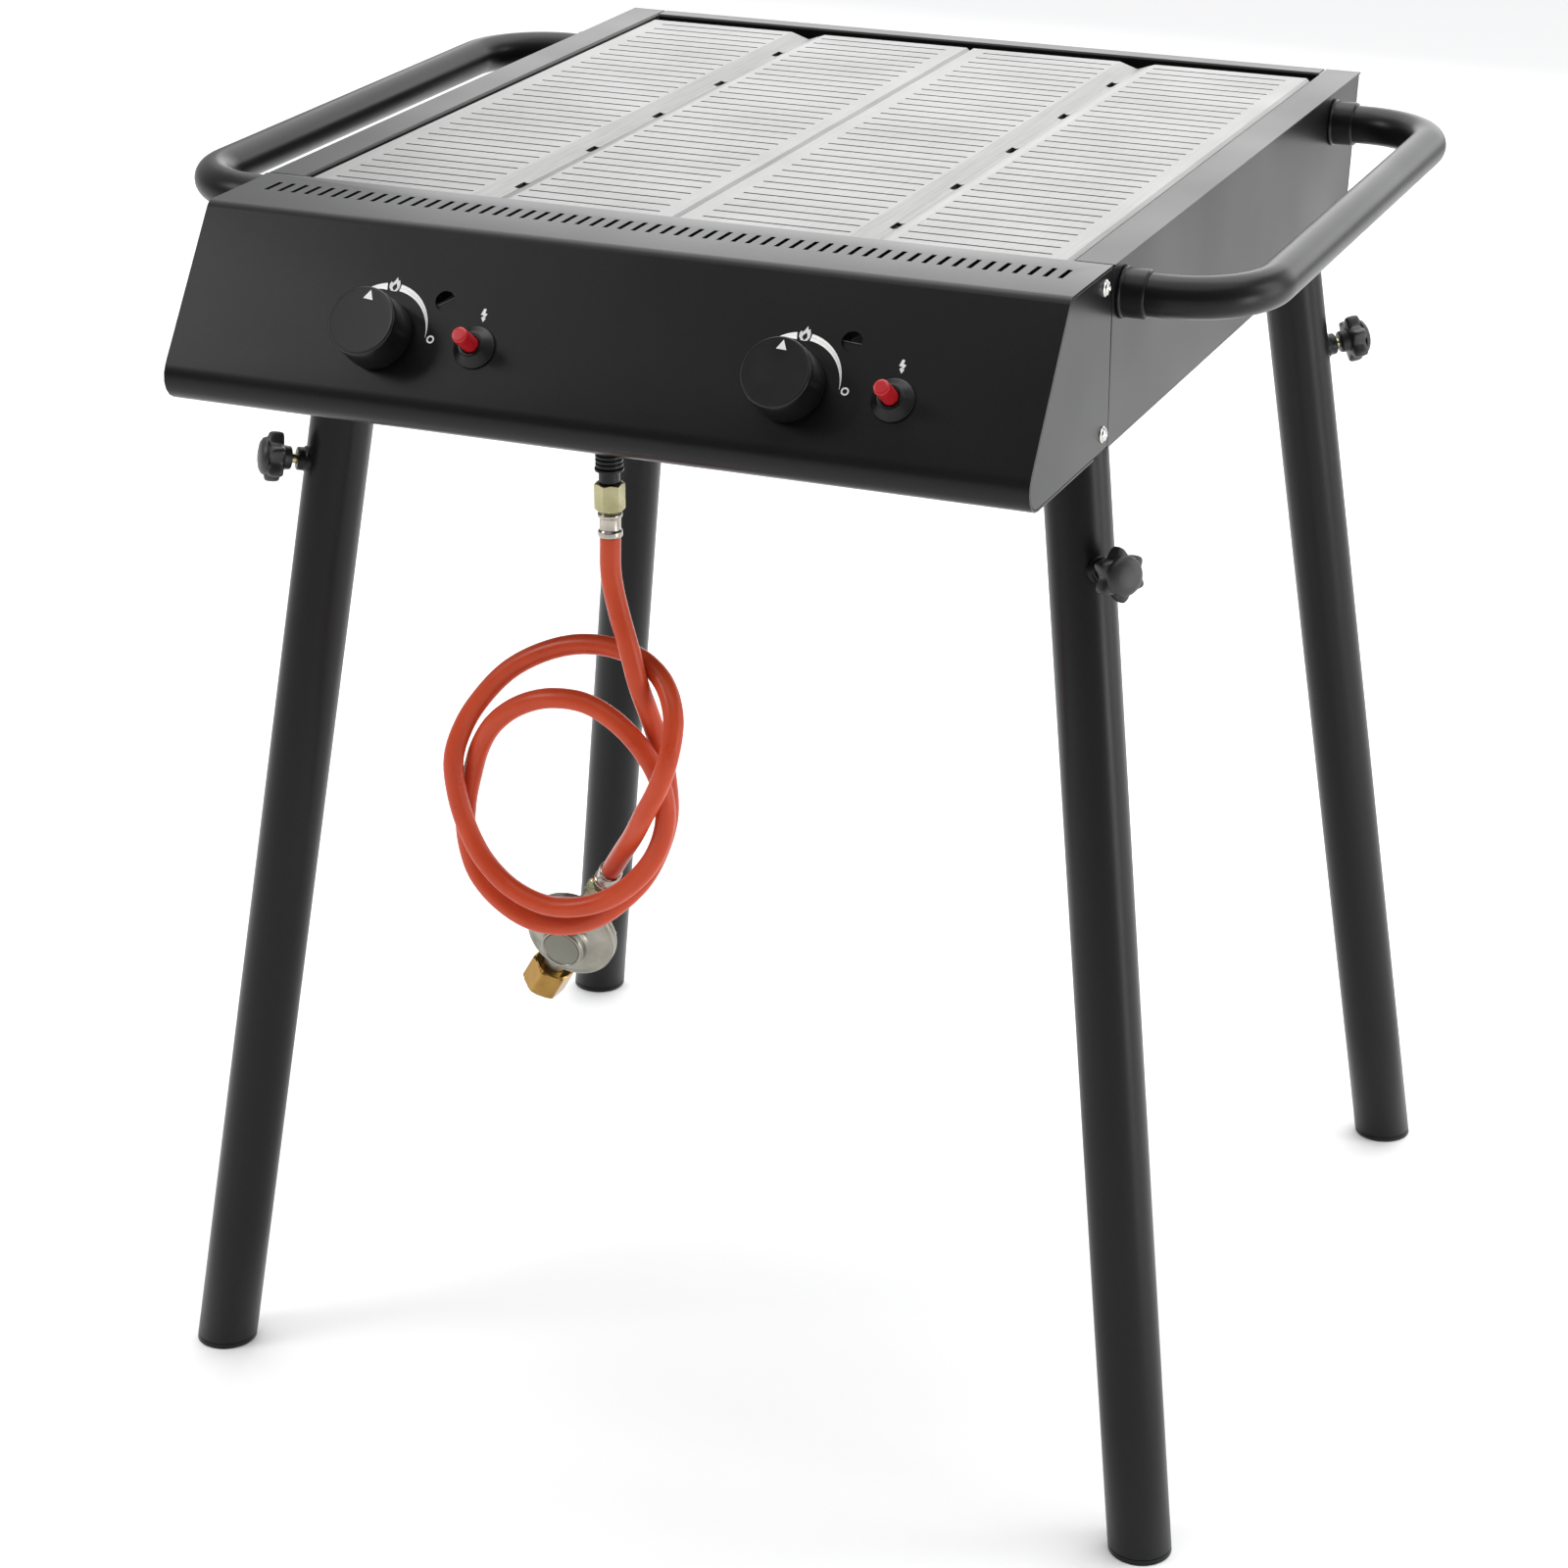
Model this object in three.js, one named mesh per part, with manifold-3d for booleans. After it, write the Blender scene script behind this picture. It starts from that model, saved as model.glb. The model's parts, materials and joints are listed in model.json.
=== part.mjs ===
// Two-burner outdoor gas charbroiler on four clamped, splayed tube legs, in millimetres.
// +Z is up, +X is the cook's right as they face the control panel, and the panel faces -Y.
// Pieces are drawn with Y from the front ends of the side rails; the last lines move the origin to the
// floor under the middle of the footprint.
import * as THREE from "three";
import { mergeGeometries, mergeVertices } from "three/addons/utils/BufferGeometryUtils.js";
import Module from "manifold-3d";

const wasm = await Module();
wasm.setup();

// ---- overall sizes ----
const BODY_WIDTH = 650;
const BODY_LENGTH = 640; // front ends of the side rails to the back edge
const TOP_HEIGHT = 980;
const BODY_DEPTH = 130;

// ---- sheet metal and clearances ----
const SHEET = 1.5;
const PLATE = 2; // side panels and cheeks
const GAP = 0.3; // between pieces that touch
const SLIDE_GAP = 1; // round pieces that slide or lift out

// ---- control panel ----
const LEDGE_DEPTH = 88.7; // to the sharp corner that the lip rounds
const LIP_RADIUS = 9;
const FACE_TILT = THREE.MathUtils.degToRad(35);
const BULGE_RADIUS = 18;
const LEDGE_FLANGE = 18; // turned down in front of the grates
const BOTTOM_FLANGE_END = -30; // where the panel's return flange stops
const VENT = { count: 57, pitch: 10.8, width: 3.6, length: 22.5, back: 24 };
const CONTROL_DOWN = 84.4; // from the sharp corner down the slanted face to the row of controls
const KNOB_X = [-163.5, 146];
const IGNITER_OFFSET = 73.5; // to the right of each knob
const SIGHT_HOLE = { radius: 7.5, places: [[42.5, 30.9], [35.5, 36.8]] }; // [across, up] from each knob

// ---- rails and grates ----
const RAIL_WIDTH = 30;
const RAIL_OVERHANG = 1; // past the side panels
const BACK_RAIL_WIDTH = 18;
const RAIL_LEDGE = 12; // inward ledge that carries the grates
const GRATE = { sheet: 2.5, flange: 14, below: 1, gap: 3, length: 603 };
const CHANNEL = { half: 15, deep: 5 };
const SLOT = { count: 33, pitch: 18.03, first: 11, width: 2.2, nearChannel: 18, length: 112 };
const DRAIN = { count: 5, pitch: 120.5, first: 55, width: 6, length: 16 };
const CENTRE_BAR = { width: 22, height: 14 };

// ---- back and base ----
const BACK_SLANT = 20; // the back panel's foot, forward of its top
const SIDE_CORNER = 24; // rounded lower back corner of a side panel
const PAN_FLANGE = 14;
const TRAY = { height: 17, width: 560, wall: 1.5, front: 20, lip: 26 };

// ---- gas train ----
const BURNER = { radius: 22, throat: 12, mouth: 19, back: 44, below: 84, wall: 1.5 };
const VALVE = { radius: 11, front: 8, back: 50, bore: 7, boreEnd: 25 };
const JET_LENGTH = 32;
const SPINDLE_RADIUS = 4;
const RUNNING = 0.3; // radial clearance of turning and sliding fits
const PUSH_TRAVEL = 3;
const MANIFOLD = { radius: 10, along: 36, below: 21.6, overhang: 26 };
const INLET = { x: 3, radius: 7.5, collar: 10.4, collarFrom: 4, collarTo: 21, end: 29 };
const ELECTRODE = { radius: 3.5, needle: 1.2, aside: 34, below: 66, length: 46, reach: 16 };

// ---- knobs, buttons ----
const KNOB = { radius: 26, lift: 4, height: 33, wall: 2.6, face: 3.2, hub: 7.5 };
const BUTTON = { radius: 6, proud: 28, root: 6, travel: 6 };
const COLLAR = { foot: 15.5, top: 9.6, height: 8 };
const PIEZO = { radius: 9, length: 50 };

// ---- legs ----
const LEG = { radius: 24.15, wall: 2, cap: 12, insetX: 39, front: 42, back: 50 };
const LEG_SPREAD = { x: 111, y: 88 };
const STUB = { clearance: 0.5, wall: 2, length: 150 };
const CLAMP = {
  drop: 100, stud: 4, boss: 9, bossHeight: 7,
  tip: LEG.radius + 37.85, knobFrom: LEG.radius + 11.35, // from the leg's axis
};
const STAR = { radius: 20, valley: 15.6, lobes: 6, thick: 12, hub: 9, hubHeight: 7, dome: 14.5, rise: 6 };

// ---- handles ----
const HANDLE = { radius: 15, wall: 2, below: 25, reach: 90, from: 24, to: 564, bend: 62 };

// ---- hose and regulator ----
const HOSE_RADIUS = 7.5;
const HOSE_NUT = { flats: 19, length: 20.5 };
const FERRULE = { radius: 8.8, length: 19 };
const REGULATOR = {
  along: 53.3, // of the valve body's centre from the hose nut
  ahead: 12, // of the diaphragm housing's rim from the valve body's centre
  radius: 35, rim: 4, back: 22, body: 19, neck: 11, front: 8.5,
  cap: 16, capFront: 22,
  spigot: 9, collar: 10.4,
  inletWay: [-0.511, 0.157, -0.845], // from the valve body's centre to the union nut
  capWay: [0.038, -0.978, -0.204], // from the housing to its cap
};
const UNION = { flats: 30, length: 25, from: 47.6, mouth: 10.9, mouthDepth: 15 };
// The hose hangs from its nut, winds two loops and ends at the regulator; the points start at its exit.
const HOSE_ROUTE = [
  [0, 0, 0], [0, 0, -28], [6, -1, -55], [14, -2, -81], [20, 0, -108], [24, 9, -134], [28, 17, -160],
  [32, 20, -187], [33, 20, -215], [27, 17, -241], [15, 15, -266], [-3, 13, -287], [-24, 12, -304],
  [-50, 12, -314], [-77, 12, -314], [-103, 14, -303], [-122, 16, -284], [-130, 17, -257],
  [-128, 15, -230], [-121, 13, -203], [-111, 8, -178], [-96, 3, -156], [-75, 1, -139], [-49, 0, -129],
  [-21, 0, -129], [4, -1, -140], [24, -1, -159], [37, -1, -183], [40, -1, -210], [32, -1, -237],
  [17, -3, -259], [-4, -4, -277], [-29, -5, -288], [-56, -5, -291], [-83, -4, -283], [-104, -4, -265],
  [-118, -3, -242], [-126, -3, -216], [-129, -1, -188], [-122, 5, -162], [-108, 10, -139],
  [-90, 15, -119], [-67, 18, -104], [-41, 20, -94], [-14, 20, -91], [13, 17, -95], [36, 7, -106],
  [50, -7, -125], [51, -17, -150], [43, -19, -176], [29, -14, -202], [15, -2, -225], [-2, 13, -249],
  [-15, 24, -268],
];

// ---- solids ----

const bare = (geometry) => {
  const plain = geometry.index ? geometry.toNonIndexed() : geometry.clone();
  plain.deleteAttribute("normal");
  plain.deleteAttribute("uv");
  return plain;
};

function solid(geometry) {
  const merged = mergeVertices(bare(geometry), 1e-4);
  return new wasm.Manifold(
    new wasm.Mesh({
      numProp: 3,
      vertProperties: merged.attributes.position.array,
      triVerts: new Uint32Array(merged.index.array),
    }),
  );
}

function geometryOf(manifold) {
  const mesh = manifold.getMesh();
  const geometry = new THREE.BufferGeometry();
  geometry.setAttribute("position", new THREE.BufferAttribute(mesh.vertProperties, 3));
  geometry.setIndex(new THREE.BufferAttribute(mesh.triVerts, 1));
  const faceted = geometry.toNonIndexed();
  faceted.computeVertexNormals();
  return faceted;
}

const join = (first, ...rest) =>
  geometryOf(rest.reduce((whole, piece) => whole.add(solid(piece)), solid(first)));
const cut = (first, ...tools) =>
  geometryOf(tools.reduce((left, tool) => left.subtract(solid(tool)), solid(first)));
const group = (pieces) => mergeGeometries(pieces.map(bare)); // pieces that don't touch each other

function block(x0, x1, y0, y1, z0, z1) {
  return new THREE.BoxGeometry(x1 - x0, y1 - y0, z1 - z0).translate(
    (x0 + x1) / 2, (y0 + y1) / 2, (z0 + z1) / 2,
  );
}

// A bar along Z with a round, or a many-sided, section.
const bar = (radius, z0, z1, sides = 16) =>
  new THREE.CylinderGeometry(radius, radius, z1 - z0, sides)
    .rotateX(Math.PI / 2)
    .translate(0, 0, (z0 + z1) / 2);

// A turned piece about Z. The profile's [radius, z] pairs run up its outside.
const turned = (profile, sides = 20) =>
  new THREE.LatheGeometry(profile.map(([r, z]) => new THREE.Vector2(r, z)), sides).rotateX(Math.PI / 2);

const turnedRing = (profile, sides) => turned([...profile, profile[0]], sides);

// An outline of [u, v] points made into a prism: along x (u is y, v is z), y (u is x, v is z) or z.
function prism(outline, along, from, to) {
  const shape = new THREE.Shape(outline.map(([u, v]) => new THREE.Vector2(u, v)));
  const geometry = new THREE.ExtrudeGeometry(shape, { depth: to - from, bevelEnabled: false });
  if (along === "x") {
    geometry.applyMatrix4(new THREE.Matrix4().set(0, 0, 1, from, 1, 0, 0, 0, 0, 1, 0, 0, 0, 0, 0, 1));
  } else if (along === "y") {
    geometry.rotateX(Math.PI / 2).translate(0, to, 0);
  } else {
    geometry.translate(0, 0, from);
  }
  return geometry;
}

// The section of a bent sheet. Its first face passes through corners [u, v, bend radius], and the
// sheet lies on the left of the way that they run.
function bentSheet(corners, thickness, steps = 4) {
  const points = corners.map(([u, v]) => new THREE.Vector2(u, v));
  const leftOf = (d) => new THREE.Vector2(-d.y, d.x);
  const face = [];
  const normals = [];
  points.forEach((corner, i) => {
    const arriving = i > 0 && corner.clone().sub(points[i - 1]).normalize();
    const leaving = i < points.length - 1 && points[i + 1].clone().sub(corner).normalize();
    if (!arriving || !leaving) {
      face.push(corner);
      normals.push(leftOf(arriving || leaving));
      return;
    }
    const turn = Math.atan2(arriving.cross(leaving), arriving.dot(leaving));
    const radius = corners[i][2];
    const side = Math.sign(turn);
    const centre = corner
      .clone()
      .addScaledVector(arriving, -radius * Math.tan(Math.abs(turn) / 2))
      .addScaledVector(leftOf(arriving), side * radius);
    for (let k = 0; k <= steps; k++) {
      const normal = leftOf(arriving).rotateAround(new THREE.Vector2(), (turn * k) / steps);
      face.push(centre.clone().addScaledVector(normal, -side * radius));
      normals.push(normal);
    }
  });
  const back = face.map((point, i) => point.clone().addScaledVector(normals[i], thickness));
  return [...face, ...back.reverse()].map((point) => [point.x, point.y]);
}

// A path through stations of {point, tangent}. A sweep along it steps only from station to station.
class StationPath extends THREE.Curve {
  constructor(stations) {
    super();
    this.stations = stations;
  }
  at(u) {
    return this.stations[Math.round(u * (this.stations.length - 1))];
  }
  getPoint(t, target = new THREE.Vector3()) {
    return target.copy(this.at(t).point);
  }
  getPointAt(u, target) {
    return this.getPoint(u, target);
  }
  getTangent(t, target = new THREE.Vector3()) {
    return target.copy(this.at(t).tangent);
  }
  getTangentAt(u, target) {
    return this.getTangent(u, target);
  }
}

// ---- frames ----

// A group whose Z points along one direction and whose X lies as near as it can to another.
function frameAt(origin, zAxis, xHint) {
  const z = zAxis.clone().normalize();
  const x = xHint.clone().addScaledVector(z, -xHint.dot(z)).normalize();
  const frame = new THREE.Group();
  frame.applyMatrix4(new THREE.Matrix4().makeBasis(x, z.clone().cross(x), z).setPosition(origin));
  frame.updateMatrix();
  return frame;
}

const vector = (x, y, z) => new THREE.Vector3(x, y, z);

// ---- finishes: colour, roughness, metalness ----
const FINISHES = {
  blackPowder: [0x2a2a2a, 0.55, 0.1],
  satinSteel: [0xb4b4b2, 0.35, 0.9],
  stainless: [0xd8d8d4, 0.3, 0.95],
  galvanised: [0x9a9c9c, 0.5, 0.8],
  castAluminium: [0x9c9a8c, 0.45, 0.8],
  brass: [0xb8924f, 0.3, 0.95],
  nickel: [0xc8c8a8, 0.3, 0.95],
  blackPlastic: [0x1d1d1d, 0.45, 0],
  redPlastic: [0xb5303a, 0.35, 0],
  ceramic: [0xe8e4da, 0.4, 0],
  orangeRubber: [0xd2573f, 0.55, 0],
};

function add(parent, name, geometry, finish) {
  const [color, roughness, metalness] = FINISHES[finish];
  const mesh = new THREE.Mesh(geometry, new THREE.MeshStandardMaterial({ color, roughness, metalness }));
  mesh.name = name;
  parent.add(mesh);
  return mesh;
}

const model = new THREE.Group(); // Y from the front ends of the rails
const SIDES = [["left", -1], ["right", 1]];

// ---- shared levels and edges ----
const halfWidth = BODY_WIDTH / 2;
const baseLevel = TOP_HEIGHT - BODY_DEPTH;
const opening = halfWidth + RAIL_OVERHANG - RAIL_WIDTH; // half the width between the side rails
const ledgeLevel = TOP_HEIGHT - GRATE.below - GRATE.flange - GAP; // top of what carries the grates
const faceDown = [-Math.sin(FACE_TILT), -Math.cos(FACE_TILT)]; // down the slanted face, as [y, z]
const faceOut = [-Math.cos(FACE_TILT), Math.sin(FACE_TILT)];
const onFace = (down, out = 0) => [
  -LEDGE_DEPTH + faceDown[0] * down + faceOut[0] * out,
  TOP_HEIGHT + faceDown[1] * down + faceOut[1] * out,
];
const backFaceY = (z) => BODY_LENGTH - (BACK_SLANT * (TOP_HEIGHT - z)) / BODY_DEPTH;

// ---- control panel: one folded sheet from the grates to the underside ----
// The sharp corner at the foot of the slanted face, which the bulge rounds off.
const bulgeCorner = onFace(BODY_DEPTH / Math.cos(FACE_TILT));

function panelSection() {
  return bentSheet(
    [
      [-GAP, TOP_HEIGHT - LEDGE_FLANGE],
      [-GAP, TOP_HEIGHT, SHEET],
      [-LEDGE_DEPTH, TOP_HEIGHT, LIP_RADIUS],
      [bulgeCorner[0], baseLevel, BULGE_RADIUS],
      [BOTTOM_FLANGE_END, baseLevel],
    ],
    SHEET,
    6,
  );
}

function controlFrame(x) {
  const [y, z] = onFace(CONTROL_DOWN);
  return frameAt(vector(x, y, z), vector(0, ...faceOut), vector(1, 0, 0));
}

const inletY = onFace(CONTROL_DOWN + MANIFOLD.below, -MANIFOLD.along)[0];

function frontPanel() {
  const vents = group(
    Array.from({ length: VENT.count }, (_, i) => {
      const x = (i - (VENT.count - 1) / 2) * VENT.pitch;
      return block(
        x - VENT.width / 2, x + VENT.width / 2, -VENT.back - VENT.length, -VENT.back,
        TOP_HEIGHT - 2 * SHEET, TOP_HEIGHT + SHEET,
      );
    }),
  );
  const holes = KNOB_X.flatMap((x, side) => {
    const frame = controlFrame(x);
    const through = (radius, across, up) =>
      bar(radius, -2 * SHEET, SHEET, 16).translate(across, up, 0).applyMatrix4(frame.matrix);
    return [
      through(SPINDLE_RADIUS + SLIDE_GAP, 0, 0),
      through(BUTTON.radius + RUNNING, IGNITER_OFFSET, 0),
      through(SIGHT_HOLE.radius, ...SIGHT_HOLE.places[side]),
    ];
  });
  const inletHole = bar(INLET.radius + SLIDE_GAP, baseLevel - SHEET, baseLevel + 2 * SHEET)
    .translate(INLET.x, inletY, 0);
  return cut(prism(panelSection(), "x", -halfWidth, halfWidth), vents, ...holes, inletHole);
}

// Fits inside the folded panel, with its bulge and lip rounded to match.
function cheekOutline() {
  const inset = SHEET + GAP;
  const foot = onFace((BODY_DEPTH - inset) / Math.cos(FACE_TILT));
  const shift = inset / Math.cos(FACE_TILT) - inset * Math.tan(FACE_TILT);
  const section = bentSheet(
    [
      [-SHEET - 2 * GAP, TOP_HEIGHT - inset],
      [-LEDGE_DEPTH + shift, TOP_HEIGHT - inset, LIP_RADIUS - inset],
      [foot[0] + inset / Math.cos(FACE_TILT), baseLevel + inset, BULGE_RADIUS - inset],
      [-GAP, baseLevel + inset],
    ],
    SHEET,
    6,
  );
  return section.slice(0, section.length / 2);
}

add(model, "front_panel", frontPanel(), "blackPowder");
for (const [side, sign] of SIDES) {
  const [from, to] = sign > 0 ? [halfWidth - PLATE, halfWidth] : [-halfWidth, PLATE - halfWidth];
  add(model, side + "_cheek", prism(cheekOutline(), "x", from, to), "blackPowder");
}

// ---- side and back panels ----
function sidePanelOutline() {
  const top = TOP_HEIGHT - SHEET - GAP;
  const back = (z) => backFaceY(z) - SHEET - GAP;
  const cornerTop = baseLevel + SIDE_CORNER;
  const curve = new THREE.QuadraticBezierCurve(
    new THREE.Vector2(back(baseLevel) - SIDE_CORNER, baseLevel),
    new THREE.Vector2(back(baseLevel), baseLevel),
    new THREE.Vector2(back(cornerTop), cornerTop),
  );
  const corner = curve.getPoints(5).map((point) => [point.x, point.y]);
  return [[0, top], [0, baseLevel], ...corner, [back(top), top]];
}

for (const [side, sign] of SIDES) {
  const [from, to] = sign > 0 ? [halfWidth - PLATE, halfWidth] : [-halfWidth, PLATE - halfWidth];
  add(model, side + "_side_panel", prism(sidePanelOutline(), "x", from, to), "blackPowder");
}

const trayLevel = baseLevel + SHEET + GAP;

function backPanel() {
  const top = TOP_HEIGHT - SHEET - GAP;
  const foot = baseLevel + SHEET;
  const outline = [
    [backFaceY(top), top],
    [backFaceY(top) - SHEET, top],
    [backFaceY(foot) - SHEET, foot],
    [backFaceY(foot), foot],
  ];
  const halfSlot = TRAY.width / 2 + SLIDE_GAP;
  const slotTop = trayLevel + TRAY.height + SLIDE_GAP;
  const behind = BODY_LENGTH + SHEET;
  const slot = block(-halfSlot, halfSlot, BODY_LENGTH - 2 * BACK_SLANT, behind, baseLevel - SHEET, slotTop);
  const vents = group(
    [-4, -3, -2, -1, 0, 1, 2, 3, 4].map((i) =>
      block(i * 60 - 20, i * 60 + 20, BODY_LENGTH - 2 * BACK_SLANT, behind, slotTop + 24, slotTop + 30),
    ),
  );
  const railNotches = group(
    [-1, 1].map((sign) => {
      const edges = [sign * (opening - RAIL_LEDGE - GAP), sign * (opening + SHEET + GAP)];
      const floor = ledgeLevel - SHEET - GAP;
      return block(Math.min(...edges), Math.max(...edges), 0, behind, floor, TOP_HEIGHT);
    }),
  );
  return cut(prism(outline, "x", -halfWidth, halfWidth), slot, vents, railNotches);
}

add(model, "back_panel", backPanel(), "blackPowder");

// ---- base pan ----
const panHalf = halfWidth - PLATE - GAP;
const panBack = backFaceY(baseLevel) - SHEET - GAP;
const panSection = bentSheet(
  [
    [-panHalf, baseLevel + PAN_FLANGE],
    [-panHalf, baseLevel, SHEET],
    [panHalf, baseLevel, SHEET],
    [panHalf, baseLevel + PAN_FLANGE],
  ],
  SHEET,
  1,
);
const pan = prism(panSection, "y", BOTTOM_FLANGE_END + GAP, panBack - SIDE_CORNER / 2);
add(model, "base_pan", pan, "galvanised");

// ---- rails ----
for (const [side, sign] of SIDES) {
  const outer = halfWidth + RAIL_OVERHANG;
  const corners = [
    [outer, TOP_HEIGHT],
    [opening, TOP_HEIGHT, SHEET],
    [opening, ledgeLevel, 0.5],
    [opening - RAIL_LEDGE, ledgeLevel],
  ];
  const section = bentSheet(corners, SHEET, 1).map(([x, z]) => [sign * x, z]);
  add(model, side + "_rail", prism(section, "y", 0, BODY_LENGTH), "blackPowder");
}

const backRailSection = bentSheet(
  [
    [BODY_LENGTH - BACK_RAIL_WIDTH, ledgeLevel + GAP],
    [BODY_LENGTH - BACK_RAIL_WIDTH, TOP_HEIGHT, SHEET],
    [BODY_LENGTH, TOP_HEIGHT],
  ].reverse(),
  SHEET,
  1,
);
add(model, "back_rail", prism(backRailSection, "x", GAP - opening, opening - GAP), "blackPowder");

// ---- grates: two slotted fields each, with a sunken drain channel between them ----
const grateFrom = SLIDE_GAP + GAP;
const grateOuter = opening - GRATE.gap;
const grateCentre = (grateOuter + SLIDE_GAP / 2) / 2;

function grate() {
  const half = (grateOuter - SLIDE_GAP / 2) / 2;
  const top = TOP_HEIGHT - GRATE.below;
  const section = bentSheet(
    [
      [half, top - GRATE.flange],
      [half, top, GRATE.sheet],
      [CHANNEL.half, top, 2],
      [0, top - CHANNEL.deep, 2],
      [-CHANNEL.half, top, 2],
      [-half, top, GRATE.sheet],
      [-half, top - GRATE.flange],
    ],
    GRATE.sheet,
    1,
  );
  const [low, high] = [top - GRATE.flange + SHEET, top + SHEET];
  const slots = group(
    [-1, 1].flatMap((sign) => {
      const middle = sign * (SLOT.nearChannel + SLOT.length / 2);
      return Array.from({ length: SLOT.count }, (_, i) => {
        const y = grateFrom + SLOT.first + i * SLOT.pitch;
        const [x0, x1] = [middle - SLOT.length / 2, middle + SLOT.length / 2];
        return block(x0, x1, y - SLOT.width / 2, y + SLOT.width / 2, low, high);
      });
    }),
  );
  const drains = group(
    Array.from({ length: DRAIN.count }, (_, i) => {
      const y = grateFrom + DRAIN.first + i * DRAIN.pitch;
      return block(-DRAIN.width / 2, DRAIN.width / 2, y - DRAIN.length / 2, y + DRAIN.length / 2, low, high);
    }),
  );
  return cut(prism(section, "y", grateFrom, grateFrom + GRATE.length), slots, drains);
}

for (const [side, sign] of SIDES) {
  add(model, side + "_grate", grate(), "stainless").position.x = sign * grateCentre;
}

// ---- centre bar: an upturned channel under the inner edges of the grates ----
const barSection = bentSheet(
  [
    [CENTRE_BAR.width / 2, ledgeLevel - CENTRE_BAR.height],
    [CENTRE_BAR.width / 2, ledgeLevel, SHEET],
    [-CENTRE_BAR.width / 2, ledgeLevel, SHEET],
    [-CENTRE_BAR.width / 2, ledgeLevel - CENTRE_BAR.height],
  ],
  SHEET,
  1,
);
const shieldY = SLIDE_GAP;
add(
  model,
  "centre_bar",
  prism(barSection, "y", shieldY + SHEET + GAP, BODY_LENGTH - BACK_RAIL_WIDTH - GAP),
  "galvanised",
);

// ---- heat shield between the controls and the firebox ----
const burnerLevel = TOP_HEIGHT - BURNER.below;
const electrodeLevel = TOP_HEIGHT - ELECTRODE.below;

function heatShield() {
  const top = ledgeLevel - SHEET - GAP;
  const half = panHalf - SHEET - GAP;
  const sheet = block(-half, half, shieldY, shieldY + SHEET, trayLevel, top);
  const through = (radius, x, z) =>
    bar(radius, -2 * SHEET, 2 * SHEET, 16).rotateX(-Math.PI / 2).translate(x, shieldY, z);
  const holes = KNOB_X.flatMap((x) => [
    through(BURNER.throat + BURNER.wall + SLIDE_GAP, x, burnerLevel),
    through(ELECTRODE.radius + GAP, x + ELECTRODE.aside, electrodeLevel),
  ]);
  return cut(sheet, ...holes);
}

add(model, "heat_shield", heatShield(), "galvanised");

// ---- burners: a mouth for the valve's jet, a throat through the shield and a closed tube ----
function burner(mouthY) {
  const { radius, throat, mouth, back, wall } = BURNER;
  const end = BODY_LENGTH - back;
  const cone = [14, 34]; // the tube widens just behind the shield
  const inside = [
    [mouth - wall, mouthY], [throat, mouthY + 22], [throat, cone[0]],
    [radius - wall, cone[1]], [radius - wall, end - wall],
  ];
  const outside = [
    [radius, end], [radius, cone[1] - wall], [throat + wall, cone[0] - wall],
    [throat + wall, mouthY + 22], [mouth, mouthY],
  ];
  const profile = [[0, end - wall], ...inside.reverse(), ...outside.reverse(), [0, end]];
  return turned(profile, 16).rotateX(-Math.PI / 2);
}

// ---- gas train and controls, one set for each burner ----
// In a control frame Z points out of the slanted face, Y up it and X to the right.
const backAlongBurner = vector(0, Math.sin(FACE_TILT), -Math.cos(FACE_TILT)); // +Y of the model

function valve() {
  const { radius, front, back, bore, boreEnd } = VALVE;
  const body = turned(
    [[0, -back], [radius, -back], [radius, -front], [bore, -front], [bore, -boreEnd], [0, -boreEnd]],
    16,
  );
  const neckLength = MANIFOLD.below - MANIFOLD.radius - GAP;
  const neck = bar(6, 0, neckLength, 12).rotateX(Math.PI / 2).translate(0, 0, -MANIFOLD.along);
  const jetFrame = frameAt(vector(0, 0, -MANIFOLD.along), backAlongBurner, vector(1, 0, 0));
  const jet = bar(4.5, 0, JET_LENGTH, 12).applyMatrix4(jetFrame.matrix);
  return join(body, neck, jet);
}

function knob() {
  const { radius, lift, height, wall, face, hub } = KNOB;
  const bore = SPINDLE_RADIUS + RUNNING;
  return turned(
    [
      [0, height - face - 6], [bore, height - face - 6], [bore, lift + 4], [hub, lift + 4],
      [hub, height - face],
      [radius - wall - 1, height - face], [radius - wall, lift], [radius, lift],
      [radius - 0.9, height - 2.2], [radius - 2.6, height], [0, height],
    ],
    24,
  );
}

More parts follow.
